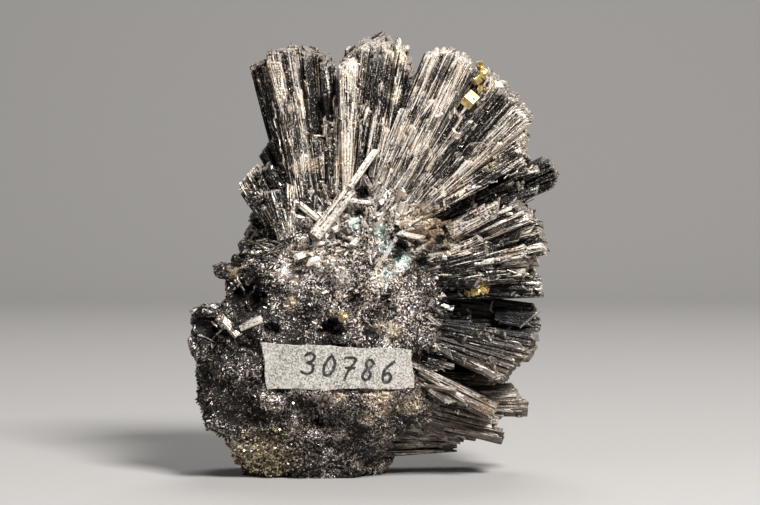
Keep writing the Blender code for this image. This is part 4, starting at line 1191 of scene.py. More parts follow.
def radiating(roots, lean, away, long, most, front, slim, widest, chance):
    """Tips, half sizes and sideways directions of blades that lean away from the rosette's middle.
    Their lengths are held to most and their tips behind front, and over a pit they are thin."""
    count = len(roots)
    tips = roots + unit(lean) * np.minimum(long, most)[:, None]
    tips[:, 1] = np.maximum(tips[:, 1], front)
    wide = np.clip(long * chance.uniform(*slim, count), 0.08, widest)
    wide *= np.where(beside_pits((roots + tips) / 2), 1, 0.2)
    half = np.stack((wide, wide * chance.uniform(0.4, 0.9, count)), 1)
    across = np.stack((-np.sin(away), chance.normal(0, 0.5, count), np.cos(away)), 1)
    return tips, half, across


def hub_shape(count, seed):
    """Pale blades that radiate over the rosette's middle. Their places are spread round an oval
    ring of radius r, and each points away from the middle, straying by 0.6 radian or so."""
    chance = np.random.default_rng(seed)
    turn = chance.uniform(-0.5, np.pi + 0.3, count)
    radius = np.sqrt(chance.uniform(0.05, 1.0, count))
    x = HUB[0] + HUB_SPREAD[0] * radius * np.cos(turn)
    z = HUB[2] + HUB_SPREAD[1] * radius * np.sin(turn)
    y = HUB[1] + 1.4 * radius ** 2 + chance.uniform(-0.5, 0.8, count)
    away = turn + chance.normal(0, 0.6, count)
    lean = np.stack((np.cos(away), chance.normal(-0.25, 0.3, count), np.sin(away)), 1)
    long = chance.lognormal(0.3, 0.55, count)
    roots = np.stack((x, y, z), 1)
    tips, half, across = radiating(
        roots, lean, away, long, 4, HUB_FRONT, (0.08, 0.24), 0.55, chance
    )
    shape = blades(
        roots, tips, across, half, np.zeros(count), chance, SHORT_BLADE_RINGS, (0.9, 1.08),
        clean=1.2,
    )
    tone = np.where(chance.random(count) < 0.5, 0.85, 0.15) + chance.normal(0, 0.12, count)
    shape.marks["tone"][:] = np.repeat(tone, len(shape.points) // count)
    return shape


# Where the granular root gives way to the fans: a line of points (x, y, z) across the front.
FRINGE = np.array((
    (-16.5, -8.6, 33.4), (-14.6, -8.8, 37.0), (-11.0, -9.0, 40.0), (-6.0, -9.4, 42.2),
    (0.0, -9.6, 43.0), (4.6, -9.6, 41.2), (7.6, -9.6, 37.6), (8.6, -9.6, 33.4), (9.2, -9.4, 28.6),
    (9.2, -9.4, 23.0), (8.6, -9.8, 17.0), (7.4, -9.6, 11.0),
))


def fringe_shape(count, seed):
    """Blades that bridge the root and the fans: each stands near the fringe line and points away
    from the rosette's middle, straying by a third of a radian."""
    chance = np.random.default_rng(seed)
    at = chance.uniform(0, len(FRINGE) - 1, count)
    place = np.stack([np.interp(at, np.arange(len(FRINGE)), FRINGE[:, k]) for k in range(3)], 1)
    away = np.arctan2(place[:, 2] - np.clip(place[:, 2], 18, 33), place[:, 0] + 1.5)
    away += chance.normal(0, 0.33, count)
    lean = np.stack((np.cos(away), chance.normal(-0.12, 0.25, count), np.sin(away)), 1)
    long = chance.lognormal(0.45, 0.45, count)
    place += chance.normal(0, (0.9, 0.5, 0.9), (count, 3)) - lean * long[:, None] * 0.5
    tips, half, across = radiating(
        place, lean, away, long, 3.6, FRINGE_FRONT, (0.07, 0.2), 0.5, chance
    )
    tone = 0.45 + 0.2 * noise(place, 3.0, 61) + chance.normal(0, 0.25, count)
    return blades(
        place, tips, across, half, np.clip(tone, 0, 1), chance, SHORT_BLADE_RINGS, (0.9, 1.08),
        clean=1.2,
    )


# ---------------------------------------------------------------- pen strokes

# Generic digits as pen strokes: points (x, y) on a sheet where a digit is 1 tall.
PEN_STROKES = (
    ((0.05, 0.86), (0.28, 1.0), (0.5, 0.84), (0.42, 0.62), (0.22, 0.54)),
    ((0.22, 0.54), (0.5, 0.46), (0.52, 0.16), (0.28, 0.0), (0.02, 0.12)),
    ((1.2, 0.98), (0.98, 0.62), (0.96, 0.24), (1.16, 0.0), (1.4, 0.26), (1.44, 0.68), (1.2, 0.98)),
    ((1.82, 0.92), (2.02, 0.97), (2.34, 0.96), (2.18, 0.6), (2.04, 0.3), (1.98, -0.04)),
    ((1.96, 0.5), (2.12, 0.53), (2.3, 0.52)),
    ((3.12, 0.82), (2.94, 1.0), (2.74, 0.82), (2.9, 0.56), (3.12, 0.3), (2.98, 0.02), (2.72, 0.14),
     (2.78, 0.42), (3.0, 0.62), (3.12, 0.82)),
    ((4.0, 0.98), (3.72, 0.72), (3.6, 0.34), (3.72, 0.02), (3.96, 0.06), (4.02, 0.34), (3.84, 0.5),
     (3.64, 0.34)),
)
DIGIT_TALL = 3.3
FIRST_DIGIT = (-10.9, 16.3)
WRITING_LEAN = 0.22
WRITING_DROP = 0.11
# A distance from the pen's strokes at which there is no ink.
NO_INK = 9.0


def pen_distance(x, z):
    """Distance from each point to the nearest pen stroke. The strokes are smoothed by cutting
    their corners three times, each cut keeping the points a quarter and three quarters along."""
    best = np.full(x.shape, NO_INK)
    for stroke in PEN_STROKES:
        line = np.array(stroke)
        for _ in range(3):
            near = level(line[:-1], line[1:], 0.25)
            far = level(line[:-1], line[1:], 0.75)
            inner = np.stack((near, far), 1).reshape(-1, 2)
            line = np.concatenate((line[:1], inner, line[-1:]))
        at_x = FIRST_DIGIT[0] + (line[:, 0] + WRITING_LEAN * line[:, 1]) * DIGIT_TALL
        at_z = FIRST_DIGIT[1] + (line[:, 1] - WRITING_DROP * line[:, 0]) * DIGIT_TALL
        start = np.stack((at_x[:-1], at_z[:-1]), 1)
        run = np.stack((np.diff(at_x), np.diff(at_z)), 1)
        for begin, go in zip(start, run):
            away_x, away_z = x - begin[0], z - begin[1]
            along = np.clip((away_x * go[0] + away_z * go[1]) / (go @ go), 0, 1)
            best = np.minimum(best, np.hypot(away_x - along * go[0], away_z - along * go[1]))
    return best


def label_shape():
    """The paper as a closed sheet: a grid between its four corners, with hand-cut edges that
    wander by a tenth of a millimetre, and the same grid again behind it."""
    across, up = round(LABEL_LONG / LABEL_STEP), round(LABEL_TALL / LABEL_STEP)
    s, t = np.meshgrid(np.linspace(0, 1, across + 1), np.linspace(0, 1, up + 1), indexing="ij")
    a, b, c, d = LABEL_CORNERS
    top = level(a[None, None], b[None, None], s[..., None])
    low = level(d[None, None], c[None, None], s[..., None])
    flat = level(low, top, t[..., None])
    edge_wave = 0.12 * np.sin(flat[..., 0] * 0.62) + 0.05 * np.sin(flat[..., 0] * 1.9 + 1)
    flat[..., 1] += edge_wave * (2 * t - 1) * 0.8 - 0.08
    flat[..., 0] += 0.1 * np.sin(flat[..., 1] * 1.3) * (2 * s - 1)
    x, z = flat[..., 0], flat[..., 1]
    cockle = 0.05 * np.sin(x * 0.8 + z * 0.5) * np.sin(z * 0.9)
    lift = 0.12 * ease(np.abs(2 * s - 1), 0.93, 1.0)
    y = label_depth(x) + 0.05 + cockle * 0.6 - lift * 0.5
    front = np.stack((x, y, z), -1)
    behind = front + (0, LABEL_THICK * 0.7, 0)
    quads = grid_faces(across + 1, up + 1)
    count = front.shape[0] * front.shape[1]
    number = np.arange(count).reshape(across + 1, up + 1)
    rim = np.concatenate((number[:, 0], number[-1, 1:], number[-2::-1, -1], number[0, -2:0:-1]))
    after = np.roll(rim, -1)
    walls = np.stack((rim, rim + count, after + count, after), 1)
    faces = np.concatenate((quads, quads[:, ::-1] + count, walls))
    points = np.concatenate((front.reshape(-1, 3), behind.reshape(-1, 3)))
    pen = np.concatenate((pen_distance(x, z).ravel(), np.full(count, NO_INK)))
    return Shape(points, faces, points[faces][..., (0, 2)], {"pen": pen})


# The backdrop: where its floor begins and its bend begins, in y, the bend's radius, the wall's
# height and half the width.
FLOOR_FRONT = -900
BEND_FRONT = 500
BEND_RADIUS = 250
WALL_HEIGHT = 1200
HALF_WIDTH = 1200


def sheet_shape():
    """The floor and backdrop: a profile of floor, quarter turn and wall, carried along X."""
    turn = np.linspace(0, np.pi / 2, 17)[1:]
    bend_y = BEND_FRONT + BEND_RADIUS * np.sin(turn)
    bend_z = BEND_RADIUS - BEND_RADIUS * np.cos(turn)
    profile = np.concatenate((
        ((FLOOR_FRONT, 0), (BEND_FRONT, 0)),
        np.stack((bend_y, bend_z), 1),
        ((BEND_FRONT + BEND_RADIUS, WALL_HEIGHT),),
    ))
    x = np.linspace(-HALF_WIDTH, HALF_WIDTH, 3)
    points = np.stack((np.repeat(x[:, None], len(profile), 1),
                       np.repeat(profile[None, :, 0], 3, 0), np.repeat(profile[None, :, 1], 3, 0)), -1)
    faces = grid_faces(len(x), len(profile))
    flat = points.reshape(-1, 3)
    return Shape(flat, faces, flat[faces][..., (0, 1)], {})


# ---------------------------------------------------------------- materials


# A Mix node's settings where it mixes colours.
COLOURS = {"out": 2, "data_type": "RGBA"}


def add_node(tree, kind, inputs=(), out=0, stops=(), **settings):
    """A node of a kind, or one that is there already, with its settings, a ramp's stops, and its
    inputs in their order or by name. An input is a value, or the output socket to link to it. The
    node's own output socket, by number or name, comes back."""
    node = kind if isinstance(kind, bpy.types.Node) else tree.nodes.new("ShaderNode" + kind)
    for name, value in settings.items():
        setattr(node, name, value)
    for k, (place, rgb) in enumerate(stops):
        elements = node.color_ramp.elements
        element = elements[k] if k < 2 else elements.new(place)
        element.position = place
        element.color = (*rgb, 1)
    for name, value in inputs.items() if isinstance(inputs, dict) else enumerate(inputs):
        socket = node.inputs[name]
        if isinstance(value, bpy.types.NodeSocket):
            tree.links.new(value, socket)
        else:
            socket.default_value = (*value, 1) if socket.type == "RGBA" else value
    return node.outputs[out]


def new_material(name):
    """A material with its shader, the function that adds nodes to it and its Object
    coordinates."""
    made = bpy.data.materials.new(name)
    made.use_nodes = True
    add = partial(add_node, made.node_tree)
    return made, made.node_tree.nodes["Principled BSDF"], add, add("TexCoord", out="Object")


def blotches(place, size, detail=3.0, rough=0.6):
    """The inputs of noise whose blotches are about that size in millimetres."""
    return {"Vector": place, "Scale": 1 / (size * MM), "Detail": detail, "Roughness": rough}


def shade(rgb, share):
    """A colour made darker or lighter by a share."""
    return [min(1, share * c) for c in rgb]


def spots(add, place, table):
    """How far inside any of the spots a place is: 1 within a quarter of a spot's reach, 0 at its
    reach."""
    found = None
    for (x, y, z), reach in table:
        away = add("VectorMath", (place, (x * MM, y * MM, z * MM)), 1, operation="DISTANCE")
        inside = add("MapRange", (away, reach * MM, reach * MM * 0.25))
        found = inside if found is None else add("Math", (found, inside), operation="MAXIMUM")
    return found


def broken_spots(add, place, table, pattern, low, high):
    """The spots, left whole where the pattern is above high and gone where it is below low."""
    kept = add("MapRange", (pattern, low, high))
    return add("Math", (spots(add, place, table), kept), operation="MULTIPLY")


def stained(add, place, base, crystals):
    """The base colour under its iron stain and copper bloom, and the share that is stained."""
    fine = add("TexNoise", blotches(place, 0.5, 4.0, 0.8))
    tint = add("TexNoise", blotches(place, 0.35, 3.0, 0.8))
    patch = add("TexNoise", blotches(place, 0.7, 3.0, 0.7))
    strewn = add("MapRange", (add("TexNoise", blotches(place, 1.5, 5.0, 0.8)), 0.66, 0.72, 0.0, 0.3))
    tan = broken_spots(add, place, TAN_SPOTS, fine, 0.44, 0.5)
    tan = add("Math", (tan, strewn), operation="MAXIMUM")
    tan_colour = add("ValToRGB", (tint,), stops=(
        (0.4, shade(crystals.tan, 0.2)), (0.57, linear(PALE_TAN)), (0.48, crystals.tan),
    ))
    rust = broken_spots(add, place, RUST_SPOTS, patch, 0.42, 0.5)
    rust_colour = add("Mix", {
        0: add("MapRange", (tint, 0.42, 0.58)), 6: crystals.rust_shade, 7: crystals.rust,
    }, **COLOURS)
    green = broken_spots(add, place, GREEN_SPOTS, patch, 0.41, 0.46)
    bloom = add("Mix", {
        0: add("MapRange", (tint, 0.4, 0.6)), 6: shade(crystals.green, 0.55), 7: crystals.green,
    }, **COLOURS)
    for share, colour_there in ((tan, tan_colour), (rust, rust_colour), (green, bloom)):
        base = add("Mix", {0: share, 6: base, 7: colour_there}, **COLOURS)
    iron = add("Math", (tan, rust), operation="MAXIMUM")
    return base, add("Math", (iron, green), operation="MAXIMUM")


def tinged(add, place, base):
    """The base colour under a thin film that is warm in some places and cool in others."""
    film = add("TexNoise", blotches(place, 1.6, 3.0, 0.7))
    for low, high, most, tinge in ((0.48, 0.62, 0.4, WARM_FILM), (0.46, 0.36, 0.35, COOL_FILM)):
        share = add("MapRange", (film, low, high, 0.0, most))
        inputs = {0: share, 6: base, 7: linear(tinge)}
        base = add("Mix", inputs, blend_type="MULTIPLY", **COLOURS)
    return base


def with_shaded_hollows(add, place, base, dull):
    """The base colour and dullness once the hollows are blacked out with painted shade, and the
    hollows' share.
    """
    edge = add("TexNoise", blotches(place, 0.5, 3.0, 0.7))
    shallow = add("VectorMath", (place, (1.0, 0.2, 1.0)), operation="MULTIPLY")
    inside = spots(add, shallow, [((x, -2.1, z), reach) for x, z, reach in SHADED_HOLLOWS])
    ragged = add("MapRange", (edge, 0.35, 0.65, -0.35, 0.35))
    depth = add("Math", (inside, ragged), operation="ADD")
    hollow_shade = add("MapRange", (depth, 0.42, 0.62, 0.0, 0.96))
    base = add("Mix", {0: hollow_shade, 6: base, 7: linear(PAINTED_HOLLOW_SHADE)}, **COLOURS)
    return base, add("Math", (dull, hollow_shade), operation="MAXIMUM"), hollow_shade


def grime_and_painted_shade(add, place):
    """How dark a place is made: 0 at the rosette, 1 at the foot and on the left flank, partly dirt
    and partly painted shade; how much of a brown film lies on it, towards the foot; and how far it is
    inside a spot of painted shade."""
    height = add("SeparateXYZ", (place,), "Z")
    low = add("MapRange", (height, 24 * MM, 10 * MM, 0.0, 0.7))
    left = add("MapRange", (add("SeparateXYZ", (place,), "X"), -12 * MM, -20 * MM))
    dark = spots(add, place, SHADE_SPOTS)
    bare = add("MapRange", (add("Math", (dark, left), operation="MAXIMUM"), 0.0, 0.7, 1.0, 0.1))
    film = add("MapRange", (height, 25 * MM, 12 * MM, 0.0, 0.55))
    film = add("Math", (film, bare), operation="MULTIPLY")
    grime_and_shade = add("Math", (low, left), operation="MAXIMUM")
    # Inside a shade spot a place is darkened the more, as painted shade.
    deep = add("Math", (dark, 3.0), operation="MULTIPLY")
    return add("Math", (grime_and_shade, deep), operation="ADD"), film, dark


def enargite_faces(name, crystals, lift=0.0, wear=0.0):
    """Enargite, grown: a dull metallic lustre on faces striated lengthwise, so that each crystal
    gives the eye its own run of fine bright and dark dashes, bruised pale at the broken end."""
    made, shader, add, place = new_material(name)
    lines = add("UVMap", uv_map="striation")
    # Real striae are near 0.05 mm apart: drawn at 0.26 mm so that they can still be told apart.
    striae, dashes = (
        add("TexNoise", {
            "Vector": add("Mapping", {"Vector": lines, "Scale": (1 / wide, 1 / long, 1)}),
            "Scale": 1.0, "Detail": 2.0, "Roughness": 0.6,
        })
        for wide, long in ((0.26, 7.0), (0.3, 2.2))
    )
    chips = add("TexNoise", blotches(place, 0.34, 2.0, 0.7))
    tone, sunk_shade, to_tip = (
        add("Attribute", out="Fac", attribute_name=mark) for mark in ("tone", "sunk_shade", "to_tip")
    )
    soot_and_shade, film, dark = grime_and_painted_shade(add, place)
    light = tone
    for pattern, low, high, least, most in (
        (striae, 0.38, 0.62, -0.44, 0.44),
        (dashes, 0.4, 0.6, -0.25, 0.25),
        (chips, 0.41, 0.59, -0.18, 0.18 + lift),
        (add("TexNoise", blotches(place, 3.5)), 0.35, 0.65, -0.2, 0.2),
        (to_tip, 1.8, 0.2, 0.0, 0.15),
    ):
        share = add("MapRange", (pattern, low, high, least, most))
        light = add("Math", (light, share), operation="ADD")
    # Painted shade: the deeper layers darkened, and the foot, the left flank and the shade spots
    # darkened too, with dirt at the foot and flank.
    for pattern, weight in ((sunk_shade, 0.4), (soot_and_shade, 0.16)):
        share = add("Math", (pattern, weight), operation="MULTIPLY")
        light = add("Math", (light, share), operation="SUBTRACT")
    face = add("ValToRGB", (light,), stops=(
        (0.24, crystals.dark), (0.9, crystals.light), (0.58, crystals.middle),
    ))

    # Dust: on the bruised ends, in the pale spots, which are partly painted light, as stray specks,
    # and where a face is bright, which on the lighter copy is partly painted highlight.
    near_end = add("MapRange", (to_tip, 0.45, 0.05))
    bruise = add("MapRange", (chips, 0.42, 0.58, 0.0, 0.42))
    bruised = add("Math", (near_end, bruise), operation="MULTIPLY")
    coarse = add("TexNoise", blotches(place, 0.45, 3.0, 0.8))
    pale = broken_spots(add, place, DUST_AND_LIGHT_SPOTS, coarse, 0.48, 0.53)
    specks = add("TexNoise", blotches(place, 0.24, 1.0, 0.6))
    stray = add("MapRange", (specks, 0.63, 0.68, 0.0, 0.5))
    height = add("SeparateXYZ", (place,), "Z")
    # Fewer stray specks towards the foot, and fewer in the shade spots, so that the painted shade
    # there stays dark.
    for pattern, low, high, least, most in (
        (height, 12 * MM, 28 * MM, 0.3, 1.0), (dark, 0.0, 0.7, 1.0, 0.15),
    ):
        share = add("MapRange", (pattern, low, high, least, most))
        stray = add("Math", (stray, share), operation="MULTIPLY")
    dust = bruised
    for more in (pale, stray, add("MapRange", (light, 1.0, 1.5, 0.0, 2 * lift))):
        dust = add("Math", (dust, more), operation="MAXIMUM")
    ends = add("MapRange", (to_tip, 0.3, 0.02, 0.0, 0.85))
    worn = add("Math", (ends, 0.4), operation="MULTIPLY")
    face = add("Mix", {0: dust, 6: face, 7: crystals.dust}, **COLOURS)
    face = add("Mix", {0: film, 6: tinged(add, place, face), 7: linear(BROWN_FILM)}, **COLOURS)
    face = add("Mix", {0: worn, 6: face, 7: linear(WORN_END)}, **COLOURS)
    face, stain = stained(add, place, face, crystals)
    dull = add("Math", (dust, stain), operation="MAXIMUM")
    face, dull, hollow_shade = with_shaded_hollows(add, place, face, dull)
    for more in (film, ends):
        dull = add("Math", (dull, more), operation="MAXIMUM")

    gloss = add("MapRange", (striae, 0.3, 0.7, 0.26 + wear, 0.48 + wear))
    matt = add("MapRange", (dull, 0.0, 1.0, 0.0, 0.35))
    chipped = add("Math", (chips, 0.8), operation="MULTIPLY")
    relief = add("Math", (striae, chipped), operation="ADD")
    add(shader, {
        "Base Color": face,
        "Metallic": add("MapRange", (dull, 0.0, 1.0, 0.7, 0.05)),
        "Roughness": add("Math", (gloss, matt), operation="ADD"),
        # In the hollows the painted shade also takes away the specular reflection.
        "Specular IOR Level": add("MapRange", (hollow_shade, 0.0, 1.0, 0.5, 0.05)),
        "Normal": add("Bump", {"Height": relief, "Strength": 1.0, "Distance": 0.12 * MM}),
    })
    return made


def granular_enargite(name, crystals, root):
    """Massive enargite, broken: a mesh of tiny faces on which noise paints a few glints, as painted
    highlight, and dark hollows, as painted shade; brassy where pyrite is mixed in at the foot."""
    made, shader, add, place = new_material(name)
    grain = add("TexNoise", blotches(place, 0.3, 2.0, 0.7))
    patch = add("MapRange", (add("TexNoise", blotches(place, 3.0)), 0.35, 0.65, -0.06, 0.06))
    # Darker towards the foot, the left flank and the shade spots: painted shade, with dirt at the foot
    # and flank.
    soot_and_shade = add("Math", (grime_and_painted_shade(add, place)[0], 0.05), operation="MULTIPLY")
    # Lighter in the pale places: partly dust, partly painted light.
    pale = add("Math", (spots(add, place, DUST_AND_LIGHT_SPOTS), 0.06), operation="MULTIPLY")
    # The crag mark is the relief, on the lumps with their own tone added: the recesses come out
    # darker, as painted shade.
    crag = add("Attribute", out="Fac", attribute_name="crag")
    crag = add("MapRange", (crag, -0.7, 0.3, -0.14, 0.05))
    light = grain
    for operation, share in (("ADD", patch), ("SUBTRACT", soot_and_shade), ("ADD", pale), ("ADD", crag)):
        light = add("Math", (light, share), operation=operation)
    base = add("ValToRGB", (light,), stops=((0.43, root.shade), (0.6, root.glint), (0.51, root.stone)))
    coarse = add("TexNoise", blotches(place, 0.6, 3.0, 0.8))
    brassy = broken_spots(add, place, BRASSY_SPOTS, coarse, 0.46, 0.54)
    base = add("Mix", {0: brassy, 6: base, 7: linear(BRASSY_ORE)}, **COLOURS)
    base, stain = stained(add, place, tinged(add, place, base), crystals)
    base, stain, hollow_shade = with_shaded_hollows(add, place, base, stain)
    add(shader, {
        "Base Color": base,
        "Metallic": add("MapRange", (stain, 0.0, 1.0, 0.7, 0.05)),
        "Roughness": add("MapRange", (grain, 0.3, 0.7, 0.62, 0.34)),
        # In the hollows the painted shade also takes away the specular reflection.
        "Specular IOR Level": add("MapRange", (hollow_shade, 0.0, 1.0, 0.5, 0.05)),
        "Normal": add("Bump", {"Height": grain, "Strength": 1.0, "Distance": 0.2 * MM}),
    })
    return made


def natural_pyrite(name, fresh, tarnished, wear=0.0):
    """Pyrite, grown: pale brass-yellow mirror faces with fine straight growth lines, and bronze
    tarnish in patches."""
    made, shader, add, place = new_material(name)
    tone = add("Attribute", out="Fac", attribute_name="tone")
    lines = add("UVMap", uv_map="striation")
    # Growth lines on cubes this small are finer than this, which is as coarse as they show.
    drawn = add("Mapping", {"Vector": lines, "Scale": (1 / 0.09, 1 / 2.0, 1)})
    growth = add("TexNoise", {"Vector": drawn, "Scale": 1.0, "Detail": 2.0})
    patches = add("MapRange", (add("TexNoise", blotches(place, 0.9)), 0.35, 0.65, 0.0, 0.7))
    own = add("MapRange", (tone, 0.0, 1.0, wear - 0.1, wear + 0.4))
    worn = add("Math", (patches, own), operation="ADD")
    share = add("MapRange", (worn, 0.2, 1.0))
    add(shader, {
        "Base Color": add("Mix", {0: share, 6: fresh, 7: tarnished}, **COLOURS),
        "Metallic": 1.0,
        "Roughness": add("MapRange", (growth, 0.3, 0.7, 0.26 + wear, 0.44 + wear)),
        "Normal": add("Bump", {"Height": growth, "Strength": 0.6, "Distance": 0.03 * MM}),
    })
    return made


def rag_paper(name, label):
    """Rag paper, pressed and aged: matt, flecked with fibres and dirt, with pen ink that has
    feathered a little into the fibres."""
    made, shader, add, place = new_material(name)
    fibre = add("TexNoise", blotches(place, 0.3, 4.0, 0.8))
    base = add("ValToRGB", (fibre,), stops=(
        (0.42, label.fleck), (0.56, shade(label.paper, 1.8)), (0.49, label.paper),
    ))
    blotch = add("MapRange", (add("TexNoise", blotches(place, 3.0)), 0.45, 0.75, 0.0, 0.35))
    base = add("Mix", {0: blotch, 6: base, 7: linear(PAPER_BLOTCH)}, **COLOURS)
    pen = add("Attribute", out="Fac", attribute_name="pen")
    wander = add("MapRange", (fibre, 0.3, 0.7, -0.06, 0.06))
    half = label.stroke / MM / 2
    edge = add("Math", (pen, wander), operation="ADD")
    inked = add("MapRange", (edge, half + 0.06, half - 0.05))
    strength = add("MapRange", (add("TexNoise", blotches(place, 0.7)), 0.3, 0.5, 0.72, 1.0))
    inked = add("Math", (inked, strength), operation="MULTIPLY")
    add(shader, {
        "Base Color": add("Mix", {0: inked, 6: base, 7: label.ink}, **COLOURS),
        "Roughness": 0.9,
        "Normal": add("Bump", {"Height": fibre, "Strength": 0.5, "Distance": 0.04 * MM}),
    })
    return made


def backdrop_paper(name, stage):
    """Seamless studio paper: matt, with a faint tooth."""
    made, shader, add, place = new_material(name)
    tooth = add("MapRange", (add("TexNoise", blotches(place, 1.2)), 0.3, 0.7, 0.0, 0.12))
    base = add("Mix", {0: tooth, 6: stage.floor, 7: linear(BACKDROP_TOOTH)}, **COLOURS)
    add(shader, {"Base Color": base, "Roughness": 0.85})
    return made


# ---------------------------------------------------------------- pieces


def piece(name, shape, material, smooth=False):
    """A shape, in millimetres, as an object in metres with its striation map and marks."""
    mesh = bpy.data.meshes.new(name)
    count = len(shape.faces)
    mesh.vertices.add(len(shape.points))
    mesh.vertices.foreach_set("co", (shape.points * MM).astype(np.float32).ravel())
    mesh.loops.add(count * 4)
    mesh.loops.foreach_set("vertex_index", shape.faces.astype(np.int32).ravel())
    mesh.polygons.add(count)
    mesh.polygons.foreach_set("loop_start", np.arange(0, count * 4, 4, dtype=np.int32))
    mesh.update(calc_edges=True)
    mesh.polygons.foreach_set("use_smooth", np.full(count, smooth))
    layer = mesh.uv_layers.new(name="striation")
    layer.uv.foreach_set("vector", shape.places.astype(np.float32).ravel())
    for mark, values in shape.marks.items():
        made = mesh.attributes.new(mark, "FLOAT", "POINT")
        made.data.foreach_set("value", values.astype(np.float32))
    mesh.validate()
    mesh.materials.append(material)
    made = bpy.data.objects.new(name, mesh)
    bpy.context.scene.collection.objects.link(made)
    return made


def on_cluster(made):
    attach(made, BODY)
    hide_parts(CLUSTER)


def crystal_material(crystals):
    """The faces that most crystals share, made when they are first asked for."""
    return bpy.data.materials.get("enargite_faces") or enargite_faces("enargite_faces", crystals)


class SPECIMEN_OT_front_fans(bpy.types.Operator):
    """Build the striated fans of the front"""

    bl_idname = "specimen.front_fans"
    bl_label = "Front Fans"

    def execute(self, context):
        crystals = context.scene.specimen_crystals
        shapes = [fan_shape(fan, crystals.breadth / MM, crystals.layer / MM, 100 + k)
                  for k, fan in enumerate(FRONT_FANS)]
        groups = (("upper_front_fans", shapes[:UPPER_FANS]),
                  ("side_front_fans", shapes[UPPER_FANS:OVERGROWN_FANS]),
                  ("left_front_stubs", shapes[OVERGROWN_FANS:]))
        for name, group in groups:
            on_cluster(piece(name, joined(group), crystal_material(crystals)))
        on_cluster(piece("overgrown_plates", overgrowth_shape(440), crystal_material(crystals)))
        specks = speck_shape(joined(shapes), crystals.specks, crystals.speck / MM, 0.6, 450)
        on_cluster(piece("fan_specks", specks, crystal_material(crystals)))
        return {"FINISHED"}


class SPECIMEN_OT_rear_fans(bpy.types.Operator):
    """Build the fans in the middle and at the back"""

    bl_idname = "specimen.rear_fans"
    bl_label = "Rear Fans"

    def execute(self, context):
        crystals = context.scene.specimen_crystals
        for name, fans, seed in (("inner_fans", INNER_FANS, 200), ("back_fans", BACK_FANS, 300)):
            shapes = [fan_shape(fan, crystals.rear_breadth / MM, 0.75 * crystals.layer / MM, seed + k)
                      for k, fan in enumerate(fans)]
            shape = joined(shapes)
            if name == "back_fans":
                # The back fans' deeper layers get no painted shade.
                shape.marks["sunk_shade"][:] = 0
            on_cluster(piece(name, shape, crystal_material(crystals)))
        return {"FINISHED"}


class SPECIMEN_OT_back_crystals(bpy.types.Operator):
    """Build the stout crystals that point backwards"""

    bl_idname = "specimen.back_crystals"
    bl_label = "Back Crystals"

    def execute(self, context):
        crystals = context.scene.specimen_crystals
        shape = back_crystal_shape(crystals.rear_breadth / MM, 400)
        on_cluster(piece("back_crystals", shape, crystal_material(crystals)))
        return {"FINISHED"}


class SPECIMEN_OT_loose_blades(bpy.types.Operator):
    """Build the pale single blades"""

    bl_idname = "specimen.loose_blades"
    bl_label = "Loose Blades"

    def execute(self, context):
        crystals = context.scene.specimen_crystals
        # A lighter copy of the faces for the pale blades: their paleness is partly their own and
        # partly painted highlight.
        material = enargite_faces("enargite_bright_faces", crystals, 0.3)
        on_cluster(piece("loose_blades", blade_shape(500), material))
        on_cluster(piece("hub_blades", hub_shape(crystals.hub_blades, 510), material))
        on_cluster(piece("broken_rims", rim_shape(520), material))
        fringe = fringe_shape(crystals.hub_blades, 530)
        on_cluster(piece("fringe_blades", fringe, crystal_material(crystals)))
        return {"FINISHED"}


class SPECIMEN_OT_root(bpy.types.Operator):
    """Build the granular root, its grains and the brassy crust on its foot"""

    bl_idname = "specimen.root"
    bl_label = "Granular Root"

    def execute(self, context):
        crystals = context.scene.specimen_crystals
        root = context.scene.specimen_root
        pyrite = context.scene.specimen_pyrite
        points, wall, crag = root_points(root.step / MM)
        ore = granular_enargite("granular_enargite", crystals, root)
        on_cluster(piece("granular_root", grid_shape(points, {"crag": crag}), ore))
        on_cluster(piece("left_lumps", lump_shape(610), ore))
        worn = enargite_faces("enargite_worn_faces", crystals, wear=0.2)
        chance = np.random.default_rng(600)
        for name, share, front in (("front_grains", 0.6, True), ("back_grains", 0.4, False)):
            count = round(root.grains * share)
            shape = grain_shape(points, wall, count, root.grain / MM, chance, front)
            on_cluster(piece(name, shape, worn))
        crust = crust_shape(points, wall, pyrite.crust, pyrite.rounding, 700)
        brassy = natural_pyrite("natural_pyrite_crust", pyrite.crust_face, pyrite.crust_dull, 0.1)
        on_cluster(piece("foot_crust", crust, brassy))
        return {"FINISHED"}


class SPECIMEN_OT_pyrite(bpy.types.Operator):
    """Build the pyrite clusters"""

    bl_idname = "specimen.pyrite"
    bl_label = "Pyrite"

    def execute(self, context):
        pyrite = context.scene.specimen_pyrite
        material = natural_pyrite("natural_pyrite", pyrite.fresh, pyrite.tarnished)
        for k, (node, cluster) in enumerate(PYRITE_CLUSTERS.items()):
            made = piece(f"{node}_cubes", pyrite_shape(cluster, pyrite.rounding, 800 + k), material)
            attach(made, BODY)
            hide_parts(node)
        return {"FINISHED"}


class SPECIMEN_OT_label(bpy.types.Operator):
    """Build the inked paper label"""

    bl_idname = "specimen.label"
    bl_label = "Paper Label"

    def execute(self, context):
        label = context.scene.specimen_label
        made = piece("label_paper", label_shape(), rag_paper("rag_paper", label), smooth=True)
        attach(made, BODY)
        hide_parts("paper_label")
        return {"FINISHED"}


# Lamps: name, place and aim in metres, size in metres, watts.
LAMPS = (
    ("key", (0.26, -0.46, 0.5), (0.0, 0.0, 0.035), 0.2, 11.4),
    ("fill", (-0.62, -0.5, 0.25), (0.0, 0.0, 0.03), 0.5, 1.2),
    ("top", (0.05, 0.3, 0.6), (0.0, 0.0, 0.04), 0.3, 2.4),
)
SKY_STRENGTH = 0.1
# The camera looks a little down at the middle of the view, which is 114 mm wide there.
AIM = (0.9 * MM, -8.0 * MM, 34.1 * MM)
ELEVATION = 2.0
LENS = 135.0
FILM = 36.0
VIEW_WIDTH = 114 * MM


